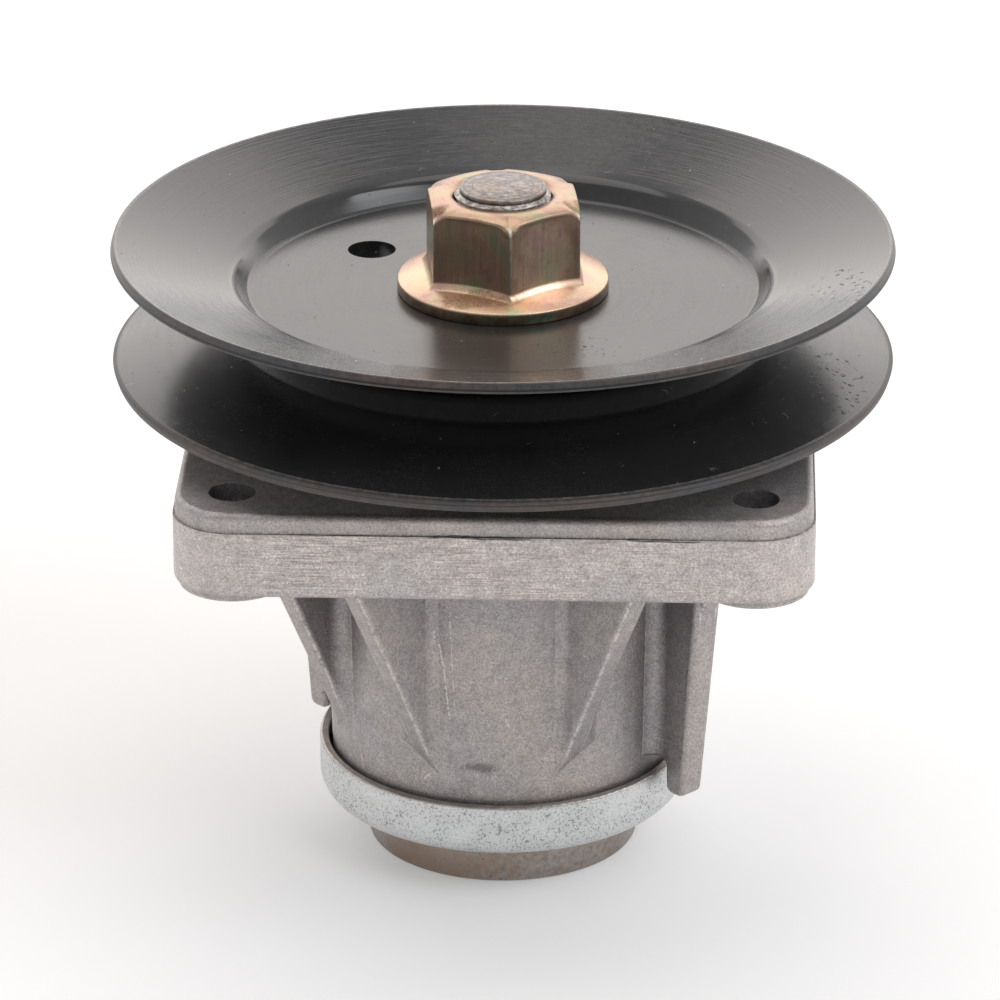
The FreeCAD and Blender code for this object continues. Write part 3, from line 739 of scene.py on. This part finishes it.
def turned_metal(name, light, dark, roughness):
    """Plain turned metal with fine marks round the shaft and cloudy tone."""
    made, shader, place = material(name)
    turning = spun_marks(place, 6.0, 7.0)
    cloud = noise(place, 0.15, 4.0, 0.6)
    colour = mix(spread(cloud, 0.35, 0.68), dark, light)
    colour = covered(colour, worn_mask(place, 0.3, 0.4), 0.5, METAL_WORN)
    rough = times_plus(turning, 0.16, roughness)
    feed(shader, Base_Color=colour, Metallic=1.0, Roughness=rough, Normal=bump(turning, 0.012))
    return made


RUBBER_BLACK = (0.012, 0.012, 0.012, 1)
RUBBER_GREY = (0.03, 0.03, 0.03, 1)
RUBBER_DUST = (0.25, 0.24, 0.22, 1)


def seal_rubber():
    """Black sealing rubber with a fine moulded grain and dust."""
    made, shader, place = material("seal_rubber")
    fine = use(grain, Place=place, Grain_size=0.5, Contrast=1.5)
    dust = use(specks, Place=place, Spacing=2.5, Size=0.1, Share=0.3)["Mask"]
    colour = mix(fine["Tone"], RUBBER_BLACK, RUBBER_GREY)
    colour = covered(colour, dust, 0.6, RUBBER_DUST)
    rough = times_plus(fine["Tone"], 0.2, 0.45)
    feed(shader, Base_Color=colour, Roughness=rough, Normal=bump(fine["Relief"], 0.02))
    return made


finishes = {
    "black_paint": black_paint(),
    "gold_zinc": gold_zinc(),
    "zinc_plate": zinc_plate(),
    "shaft_steel": shaft_steel(),
    "cast_aluminium": cast_aluminium(),
    "tube_steel": turned_metal("tube_steel", (0.44, 0.43, 0.42, 1), (0.30, 0.29, 0.28, 1), 0.28),
    "bearing_steel": turned_metal("bearing_steel", (0.60, 0.60, 0.60, 1), (0.50, 0.50, 0.51, 1), 0.14),
    "cage_steel": turned_metal("cage_steel", (0.50, 0.48, 0.45, 1), (0.40, 0.38, 0.36, 1), 0.3),
    "seal_rubber": seal_rubber(),
}
for part in frame["record"]["subparts"]:
    mesh = nodes[part["node"]].data
    mesh.materials.clear()
    mesh.materials.append(finishes[part["material_slot"]])


# Turned pieces: one tree of geometry nodes makes them from a profile
NO_FLATS = 1000.0
SMALLEST_SINE = 0.001
MERGE_DISTANCE = 0.002 * MM
DISSOLVE_DISTANCE = 0.001 * MM


def sampled(profile, name, kind, row):
    """Value of a profile point's attribute at a row, or its place where no name is given."""
    tree = profile.id_data
    if name:
        value = add(tree, "GeometryNodeInputNamedAttribute", {"Name": name}, data_type=kind).outputs[0]
    else:
        value = add(tree, "GeometryNodeInputPosition").outputs[0]
    inputs = {0: profile, "Value": value, "Index": row}
    return add(tree, "GeometryNodeSampleIndex", inputs, data_type=kind, domain="POINT").outputs[0]


def turned_tree():
    """Turns a profile about the shaft's axis, with a hexagon, flats or a thread where its points ask for one.

    A profile point's place is (plain radius, share of the hexagon, height), and its rule attribute is
    (slope of height over radius, thread depth, half distance of the flats). Its fall attribute lowers it
    outside the fall radius by the square of the distance.
    """
    tree = bpy.data.node_groups.new("Turned piece", "GeometryNodeTree")
    sockets = tree.interface
    sockets.new_socket("Geometry", in_out="OUTPUT", socket_type="NodeSocketGeometry")
    sockets.new_socket("Profile", in_out="INPUT", socket_type="NodeSocketGeometry")
    sockets.new_socket("Segments", in_out="INPUT", socket_type="NodeSocketInt")
    for name in ("Across flats", "Corner angle", "Corner radius", "Fall radius", "Thread pitch"):
        sockets.new_socket(name, in_out="INPUT", socket_type="NodeSocketFloat")
    sockets.new_socket("Material", in_out="INPUT", socket_type="NodeSocketMaterial")
    start = tree.nodes.new("NodeGroupInput").outputs
    end = tree.nodes.new("NodeGroupOutput").inputs

    profile = start["Profile"]
    count = add(tree, "GeometryNodeAttributeDomainSize", {0: profile}).outputs["Point Count"]
    around = calc("ADD", start["Segments"], 1)
    grid = add(tree, "GeometryNodeMeshGrid", {"Vertices X": count, "Vertices Y": around}).outputs["Mesh"]
    index = add(tree, "GeometryNodeInputIndex").outputs[0]
    row = calc("FLOOR", ratio(calc("ADD", index, 0.5), around))
    turn = ratio(minus(index, product(row, around)), start["Segments"])
    angle = product(turn, FULL_TURN)
    cosine = calc("COSINE", angle)
    sine = calc("SINE", angle)
    fall = sampled(profile, "fall", "FLOAT", row)
    plain, share, height = separated(sampled(profile, "", "FLOAT_VECTOR", row))
    slope, thread, flats = separated(sampled(profile, "rule", "FLOAT_VECTOR", row))

    sixth = math.pi / 6
    corner_radius = start["Corner radius"]
    from_corner = calc("WRAP", minus(angle, start["Corner angle"]), sixth, -sixth)
    from_corner = calc("ABSOLUTE", from_corner)
    half = ratio(start["Across flats"], 2)
    side = ratio(half, calc("COSINE", minus(sixth, from_corner)))
    centre = ratio(minus(half, corner_radius), math.cos(sixth))
    aside = product(centre, calc("SINE", from_corner))
    rise = minus(calc("POWER", corner_radius, 2), calc("POWER", aside, 2))
    softened = times_plus(centre, calc("COSINE", from_corner), calc("SQRT", highest(rise, 0)))
    touch = calc("ARCTAN2", product(corner_radius, math.sin(sixth)),
                 times_plus(corner_radius, math.cos(sixth), centre))
    at_corner = calc("LESS_THAN", from_corner, touch)
    hexagon = times_plus(minus(softened, side), at_corner, side)
    radius = times_plus(share, hexagon, plain)

    across = highest(calc("ABSOLUTE", sine), SMALLEST_SINE)
    radius = calc("MINIMUM", radius, ratio(flats, across))
    height = times_plus(slope, radius, height)
    beyond = highest(minus(radius, start["Fall radius"]), 0)
    height = minus(height, product(fall, calc("POWER", beyond, 2)))
    along = minus(ratio(height, start["Thread pitch"]), turn)
    tooth = calc("ABSOLUTE", times_plus(calc("FRACT", along), 2, -1))
    radius = minus(radius, product(thread, tooth))
    turned_place = combined(product(radius, cosine), product(radius, sine), height)
    shape = add(tree, "GeometryNodeSetPosition", {0: grid, "Position": turned_place}).outputs[0]
    closed = add(tree, "GeometryNodeMergeByDistance", {0: shape, "Distance": MERGE_DISTANCE}).outputs[0]
    realized = add(tree, "GeometryNodeRealizeInstances", {0: closed}).outputs[0]
    finished = add(tree, "GeometryNodeSetMaterial", {0: realized, "Material": start["Material"]}).outputs[0]
    connect(end["Geometry"], finished)
    return tree


turned_piece = turned_tree()


def point(radius, height, share=0.0, slope=0.0, thread=0.0, flats=NO_FLATS, fall=0.0):
    """Profile point in millimetres: plain radius, height, share of the hexagon, its rule and its fall."""
    return (radius * MM, share, height * MM), (slope, thread * MM, flats * MM), fall / MM


SOFT_MIDDLE = 0.3


def soft_edge(radius, height, edge, way):
    """Profile points of a softened outer edge: way is 1 at the foot of a wall and -1 at its top."""
    middle = edge * SOFT_MIDDLE
    rows = [point(radius - edge, height), point(radius - middle, height + way * middle),
            point(radius, height + way * edge)]
    return rows[::way]


def turn_profile(name, profile, finish, segments, sharp_angle, **sizes):
    """Finished mesh object turned from profile points, with its place in its mesh."""
    mesh = bpy.data.meshes.new(name + "_profile")
    mesh.from_pydata([place for place, rule, fall in profile], [], [])
    mesh.attributes.new("rule", "FLOAT_VECTOR", "POINT")
    mesh.attributes.new("fall", "FLOAT", "POINT")
    for i, (place, rule, fall) in enumerate(profile):
        mesh.attributes["rule"].data[i].vector = rule
        mesh.attributes["fall"].data[i].value = fall
    piece = bpy.data.objects.new(name, mesh)
    bpy.context.scene.collection.objects.link(piece)
    modifier = piece.modifiers.new("turned", "NODES")
    modifier.node_group = turned_piece
    values = {"Segments": segments, "Thread pitch": 1.0, "Material": finish}
    values.update(sizes)
    for item in turned_piece.interface.items_tree:
        if item.in_out == "INPUT" and item.name in values:
            modifier[item.identifier] = values[item.name]
    evaluated = piece.evaluated_get(bpy.context.evaluated_depsgraph_get())
    finished = bpy.data.meshes.new_from_object(evaluated)
    piece.modifiers.clear()
    piece.data = finished
    finished.name = name
    bpy.data.meshes.remove(mesh)
    shell = bmesh.new()
    shell.from_mesh(finished)
    bmesh.ops.dissolve_degenerate(shell, dist=DISSOLVE_DISTANCE, edges=shell.edges)
    bmesh.ops.recalc_face_normals(shell, faces=shell.faces)
    shell.to_mesh(finished)
    shell.free()
    finished.materials.clear()
    finished.materials.append(finish)
    finished.shade_smooth()
    finished.set_sharp_from_angle(angle=math.radians(sharp_angle))
    return piece


def stand_for(piece, node, body):
    """The piece rides on a body in the place of a node, which is hidden."""
    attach(piece, body)
    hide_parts(node)


# Flange nut; the rows of its shoulder are inset and drop in widths of its edge
NUT_ACROSS_FLATS = 23.8125
NUT_CORNER_RADIUS = 0.4
NUT_FLANGE_EDGE = 2.0
NUT_FLANGE_SLOPE = math.tan(math.radians(16.5))
NUT_FOOT_BEVEL = 0.86
NUT_FOOT_CURVE = 1.25
NUT_FOOT_STEPS = 6
NUT_SHOULDER = ((0, 2), (0, 1), (0.35, 0.3), (1, 0))
NUT_CROWN_RADIUS = 10.3
NUT_CROWN_SLOPE = 0.27
NUT_FALL_RADIUS = 12.5
NUT_FALL = 1.1
NUT_SINK_RADIUS = 8.5
NUT_BORE_RADIUS = 8.0
NUT_EDGE = 0.24
NUT_EDGE_MIDDLE = 0.2
NUT_CROWN_DROP = 0.06
NUT_SINK_EDGE = 0.12
NUT_SINK_DROP = 0.1
NUT_SEGMENTS = 720
NUT_SHARP_ANGLE = 50


def flange_nut():
    """Hexagon nut with a sloped flange: soft edges, arched face tops and a bevel at the hexagon's foot."""
    foot, top, rim = node_heights("flange_nut")
    edge = NUT_EDGE
    sink = NUT_SINK_RADIUS - NUT_BORE_RADIUS
    brow = foot + NUT_FLANGE_EDGE
    skirt = brow + rim * NUT_FLANGE_SLOPE
    crown = top + NUT_CROWN_RADIUS * NUT_CROWN_SLOPE
    profile = [point(NUT_BORE_RADIUS, foot + sink), point(NUT_SINK_RADIUS, foot)]
    profile += soft_edge(rim, foot, edge, 1)
    middle = edge * NUT_EDGE_MIDDLE
    profile += [point(rim, brow - edge), point(rim - middle, brow - middle),
                point(rim - edge, skirt, slope=-NUT_FLANGE_SLOPE),
                point(NUT_FOOT_BEVEL + edge, skirt, 1.0, -NUT_FLANGE_SLOPE)]
    for i in range(NUT_FOOT_STEPS + 1):
        share = i / NUT_FOOT_STEPS
        outset = NUT_FOOT_BEVEL * (1 - share) ** NUT_FOOT_CURVE
        rise = NUT_FOOT_BEVEL * share ** NUT_FOOT_CURVE
        profile.append(point(outset, skirt + rise, 1.0, -NUT_FLANGE_SLOPE))
    profile.append(point(0, skirt + NUT_FOOT_BEVEL + edge, 1.0, -NUT_FLANGE_SLOPE))
    for inset, drop in NUT_SHOULDER:
        profile.append(point(-edge * inset, crown - edge * drop, 1.0, -NUT_CROWN_SLOPE, fall=NUT_FALL))
    profile += [point(NUT_CROWN_RADIUS + edge, crown, slope=-NUT_CROWN_SLOPE),
                point(NUT_CROWN_RADIUS, top - NUT_CROWN_DROP), point(NUT_CROWN_RADIUS - edge, top),
                point(NUT_SINK_RADIUS + NUT_SINK_EDGE, top), point(NUT_SINK_RADIUS, top - NUT_SINK_DROP),
                point(NUT_BORE_RADIUS, top - sink)]
    profile.append(profile[0])
    sizes = {"Across flats": NUT_ACROSS_FLATS * MM, "Corner angle": math.radians(NUT_CORNER_ANGLE),
             "Corner radius": NUT_CORNER_RADIUS * MM, "Fall radius": NUT_FALL_RADIUS * MM}
    return turn_profile("nut", profile, finishes["gold_zinc"], NUT_SEGMENTS, NUT_SHARP_ANGLE, **sizes)


# Shaft with its blade hub; the lip's rows are inset and distance below the top, the end's radius and distance
HUB_EDGE = 0.4
BOSS_RADIUS = 13.0
BOSS_HEIGHT = 2.0
JOURNAL_RADIUS = 9.98
PULLEY_SHEET = 1.8
SEAT_RADIUS = 8.75
SEAT_HALF_FLATS = 7.5
STUD_RADIUS = 7.9375
STUD_BEVEL = 0.66
LIP_DROP = 1.55
LIP_RUNOUT = 0.2
LIP_ROWS = ((0, 1.4), (0.1, 1.25))
SHAFT_END = ((7.2, 0.83), (7.05, 0.81), (6.65, 0.89), (6.65, 0.6), (7.0, 0.46), (7.0, 0.24), (6.9, 0.08),
             (6.7, 0), (0, 0))
THREAD_PITCH = 1.411
THREAD_DEPTH = 0.75
THREAD_TURNS = 5
BLADE_HOLE_RADIUS = 4.25
BLADE_HOLE_DEPTH = 30.0
BLADE_HOLE_TIP = 2.55
BLADE_HOLE_MOUTH = 0.8
BLADE_HOLE_FLARE = 1.0
BLADE_THREAD_DEPTH = 0.55
BLADE_THREAD_TURNS = 12
ROWS_PER_TURN = 10
SHAFT_SEGMENTS = 192
SHAFT_SHARP_ANGLE = 32


def thread_rows(radius, start, turns, depth):
    """Profile points close enough together to hold a thread."""
    count = turns * ROWS_PER_TURN
    return [point(radius, start + i * THREAD_PITCH / ROWS_PER_TURN, thread=depth) for i in range(count + 1)]


def spindle_shaft():
    """Turned shaft: blade hub with a threaded hole, journal, flatted seat and a threaded end with a lip."""
    hub_foot, top, hub = node_heights("spindle_shaft")
    hub_top = node_heights("dust_cup")[0]
    nut_foot = node_heights("flange_nut")[0]
    seat_foot = nut_foot - 3 * PULLEY_SHEET
    boss_top = hub_top + BOSS_HEIGHT
    hole = BLADE_HOLE_RADIUS
    thread_top = top - LIP_DROP
    thread_foot = thread_top - THREAD_TURNS * THREAD_PITCH
    profile = [point(0, BLADE_HOLE_DEPTH + BLADE_HOLE_TIP), point(hole, BLADE_HOLE_DEPTH)]
    profile += thread_rows(hole, BLADE_HOLE_MOUTH, BLADE_THREAD_TURNS, -BLADE_THREAD_DEPTH)[::-1]
    profile.append(point(hole + BLADE_HOLE_FLARE, hub_foot))
    profile += soft_edge(hub, hub_foot, HUB_EDGE, 1)
    profile += soft_edge(hub, hub_top, HUB_EDGE, -1)
    profile += [point(BOSS_RADIUS, hub_top), point(BOSS_RADIUS, boss_top),
                point(JOURNAL_RADIUS, boss_top), point(JOURNAL_RADIUS, seat_foot),
                point(SEAT_RADIUS, seat_foot, flats=SEAT_HALF_FLATS),
                point(SEAT_RADIUS, nut_foot, flats=SEAT_HALF_FLATS),
                point(STUD_RADIUS - STUD_BEVEL, nut_foot), point(STUD_RADIUS, nut_foot + STUD_BEVEL),
                point(STUD_RADIUS, thread_foot - THREAD_PITCH)]
    profile += thread_rows(STUD_RADIUS, thread_foot, THREAD_TURNS, THREAD_DEPTH)
    profile += [point(STUD_RADIUS - inset, top - drop, thread=LIP_RUNOUT) for inset, drop in LIP_ROWS]
    profile += [point(radius, top - drop) for radius, drop in SHAFT_END]
    sizes = {"Thread pitch": THREAD_PITCH * MM}
    return turn_profile("shaft", profile, finishes["shaft_steel"], SHAFT_SEGMENTS, SHAFT_SHARP_ANGLE, **sizes)


# Pulley halves
PULLEY_FLOOR = 41.8
PULLEY_STEP_WIDTH = 2.6
PULLEY_STEP_HEIGHT = 3.3
PULLEY_HALF_ANGLE = math.radians(17)
PULLEY_BEND = 1.2
PULLEY_RIM_ROUND = 0.35
PULLEY_SEGMENTS = 256
PULLEY_SHARP_ANGLE = 30
SEAT_GAP = 0.02
WEB_HOLE_RADIUS = 3.95
WEB_HOLE_CIRCLE = 27.6
WEB_HOLE_ANGLE = math.radians(143.6)
DRILL_SEGMENTS = 96
DRILL_LENGTH = 100.0
ARC_STEPS = 9
SPARE_ROW = 0.15


def sheet_corners(path, sheet, bend, end):
    """Corners (radius, height, rounding) round a bent sheet, from its mid-line and inner bend radius."""
    upper, lower = [], []
    runs = [(Vector(path[i + 1]) - Vector(path[i])).normalized() for i in range(len(path) - 1)]
    for i, middle in enumerate(path):
        before, after = runs[max(i - 1, 0)], runs[min(i, len(runs) - 1)]
        left = Vector((-before.y - after.y, before.x + after.x))
        shift = left * (sheet / (2 + 2 * before.dot(after)))
        rises = before.cross(after) > 0
        inner, outer = (bend, bend + sheet) if 0 < i < len(path) - 1 else (end, end)
        upper.append((middle[0] + shift.x, middle[1] + shift.y, inner if rises else outer))
        lower.append((middle[0] - shift.x, middle[1] - shift.y, outer if rises else inner))
    return upper + lower[::-1]


def rounded(corners):
    """Points (radius, height) of an outline: each rounding becomes an arc with a spare row at either side."""
    points = []
    for i, (radius, height, rounding) in enumerate(corners):
        corner = Vector((radius, height))
        before = (corner - Vector(corners[i - 1][:2])).normalized()
        after = (Vector(corners[(i + 1) % len(corners)][:2]) - corner).normalized()
        turn = before.angle(after)
        reach = rounding * math.tan(turn / 2)
        centre = corner + (after - before).normalized() * (rounding / math.cos(turn / 2))
        arm = corner - before * reach - centre
        start = math.atan2(arm.y, arm.x)
        way = math.copysign(turn, before.cross(after))
        points.append(corner - before * (reach + SPARE_ROW))
        for k in range(ARC_STEPS + 1):
            angle = start + way * k / ARC_STEPS
            points.append(centre + Vector((math.cos(angle), math.sin(angle))) * rounding)
        points.append(corner + after * (reach + SPARE_ROW))
    return points


def drilled(piece, radius, place):
    """The piece with a round hole through it, along the shaft's direction."""
    tool = bmesh.new()
    bmesh.ops.create_cone(tool, cap_ends=True, segments=DRILL_SEGMENTS, radius1=radius, radius2=radius,
                          depth=DRILL_LENGTH * MM)
    bmesh.ops.translate(tool, verts=tool.verts, vec=place)
    mesh = bpy.data.meshes.new("drill")
    tool.to_mesh(mesh)
    tool.free()
    drill = bpy.data.objects.new("drill", mesh)
    bpy.context.scene.collection.objects.link(drill)
    cut = piece.modifiers.new("hole", "BOOLEAN")
    cut.operation = "DIFFERENCE"
    cut.solver = "EXACT"
    cut.object = drill
    whole = piece.data
    evaluated = piece.evaluated_get(bpy.context.evaluated_depsgraph_get())
    piece.data = bpy.data.meshes.new_from_object(evaluated)
    piece.modifiers.clear()
    piece.data.name = piece.name
    piece.data.set_sharp_from_angle(angle=math.radians(PULLEY_SHARP_ANGLE))
    bpy.data.meshes.remove(whole)
    bpy.data.meshes.remove(mesh)
    return piece


def pulley_half(node, way):
    """Pressed disc with a web, a shoulder and a cone; way is 1 for the upper half and -1 for the lower."""
    low, high, rim = node_heights(node)
    base = low if way > 0 else high
    half_sheet = PULLEY_SHEET / 2
    shoulder = PULLEY_FLOOR + PULLEY_STEP_WIDTH
    loss = PULLEY_RIM_ROUND * (math.sin(PULLEY_HALF_ANGLE) + math.cos(PULLEY_HALF_ANGLE) - 1)
    edge = rim - half_sheet * math.sin(PULLEY_HALF_ANGLE) + loss
    foot = half_sheet + PULLEY_STEP_HEIGHT
    seat_radius = SEAT_RADIUS + SEAT_GAP
    seat_flats = SEAT_HALF_FLATS + SEAT_GAP
    path = [(seat_radius, half_sheet), (PULLEY_FLOOR, half_sheet), (shoulder, foot),
            (edge, foot + (edge - shoulder) * math.tan(PULLEY_HALF_ANGLE))]
    outline = rounded(sheet_corners(path, PULLEY_SHEET, PULLEY_BEND, PULLEY_RIM_ROUND))
    rows_per_corner = ARC_STEPS + 3
    profile = [point(seat_radius, base + way * PULLEY_SHEET, flats=seat_flats)]
    for place in outline[rows_per_corner:-rows_per_corner]:
        profile.append(point(place.x, base + way * place.y))
    profile.append(point(seat_radius, base, flats=seat_flats))
    profile.append(profile[0])
    paint = finishes["black_paint"]
    made = turn_profile(node + "_sheet", profile, paint, PULLEY_SEGMENTS, PULLEY_SHARP_ANGLE)
    hole = Vector((WEB_HOLE_CIRCLE * math.cos(WEB_HOLE_ANGLE),
                   WEB_HOLE_CIRCLE * math.sin(WEB_HOLE_ANGLE), base))
    return drilled(made, WEB_HOLE_RADIUS * MM, hole * MM)


stand_for(flange_nut(), "flange_nut", "spindle")
stand_for(spindle_shaft(), "spindle_shaft", "spindle")
stand_for(pulley_half("pulley_upper_half", 1), "pulley_upper_half", "spindle")
stand_for(pulley_half("pulley_lower_half", -1), "pulley_lower_half", "spindle")


# Studio: floor, lights and camera
def studio_floor():
    """Pale floor that keeps the object's shadow and looks white to the camera and in reflections."""
    mesh = bpy.data.meshes.new("studio_floor")
    half = FLOOR_SIZE / 2
    corners = [(x, y, FLOOR_HEIGHT) for x, y in ((-half, -half), (half, -half), (half, half), (-half, half))]
    mesh.from_pydata(corners, [], [(0, 1, 2, 3)])
    floor = bpy.data.objects.new("studio_floor", mesh)
    bpy.context.scene.collection.objects.link(floor)
    made = bpy.data.materials.new("studio_floor")
    made.use_nodes = True
    tree = made.node_tree
    tree.nodes.clear()
    rays = add(tree, "ShaderNodeLightPath").outputs
    seen = calc("ADD", rays["Is Camera Ray"], rays["Is Glossy Ray"])
    seen = calc("ADD", seen, rays["Is Transmission Ray"], clamp=True)
    place = add(tree, "ShaderNodeTexCoord").outputs["Object"]
    away = vector("LENGTH", place, output="Value")
    glowing = product(seen, spread(away, FLOOR_FADE, half, FLOOR_GLOW, 1.0))
    matt = add(tree, "ShaderNodeBsdfDiffuse", {"Color": FLOOR_COLOUR}).outputs[0]
    glow = add(tree, "ShaderNodeEmission", {"Color": WHITE, "Strength": glowing}).outputs[0]
    both = add(tree, "ShaderNodeAddShader", {0: matt, 1: glow}).outputs[0]
    clear = add(tree, "ShaderNodeBsdfTransparent").outputs[0]
    under = add(tree, "ShaderNodeNewGeometry").outputs["Backfacing"]
    shown = add(tree, "ShaderNodeMixShader", {0: under, 1: both, 2: clear}).outputs[0]
    add(tree, "ShaderNodeOutputMaterial", {"Surface": shown})
    mesh.materials.append(made)


def studio_world():
    """White surround: bright to the camera and in reflections, softer as fill light and dimmer in front."""
    world = bpy.data.worlds.new("studio")
    bpy.context.scene.world = world
    world.use_nodes = True
    tree = world.node_tree
    rays = add(tree, "ShaderNodeLightPath").outputs
    mirrored = calc("ADD", rays["Is Glossy Ray"], rays["Is Transmission Ray"], clamp=True)
    level = times_plus(mirrored, 1.0 - SKY_FILL, SKY_FILL)
    direction = add(tree, "ShaderNodeTexCoord").outputs["Generated"]
    backward, upward = separated(direction)[1:]
    level = product(level, spread(backward, *FRONT_RANGE, FRONT_DIM, 1.0),
                    spread(upward, *UPPER_RANGE, 1.0, UPPER_DIM))
    strength = highest(level, rays["Is Camera Ray"])
    feed(tree.nodes["Background"], Color=WHITE, Strength=strength)


def soft_panel(name, place, aim, size, brightness, colour):
    """Rectangular light of a given brightness, aimed at a point and not seen by the camera."""
    light = bpy.data.lights.new(name, "AREA")
    light.shape = "RECTANGLE"
    light.size, light.size_y = size
    light.energy = brightness * math.pi * size[0] * size[1]
    light.color = colour
    panel = bpy.data.objects.new(name, light)
    panel.location = place
    panel.rotation_euler = (Vector(aim) - Vector(place)).to_track_quat("-Z", "Y").to_euler()
    panel.visible_camera = False
    bpy.context.scene.collection.objects.link(panel)


def photo_camera():
    """Camera that sees the object as the photograph does."""
    level = math.cos(PHOTO_ELEVATION)
    back = Vector((math.sin(PHOTO_AZIMUTH) * level, -math.cos(PHOTO_AZIMUTH) * level,
                   math.sin(PHOTO_ELEVATION)))
    data = bpy.data.cameras.new("photo_camera")
    data.lens = PHOTO_LENS
    data.shift_x, data.shift_y = PHOTO_SHIFT
    camera = bpy.data.objects.new("photo_camera", data)
    camera.location = PHOTO_TARGET + back * PHOTO_DISTANCE
    camera.rotation_euler = (-back).to_track_quat("-Z", "Y").to_euler()
    bpy.context.scene.collection.objects.link(camera)
    bpy.context.scene.camera = camera


studio_floor()
studio_world()
for name, settings in PANELS.items():
    soft_panel(name, *settings)
photo_camera()
bpy.context.scene.view_settings.view_transform = "Standard"
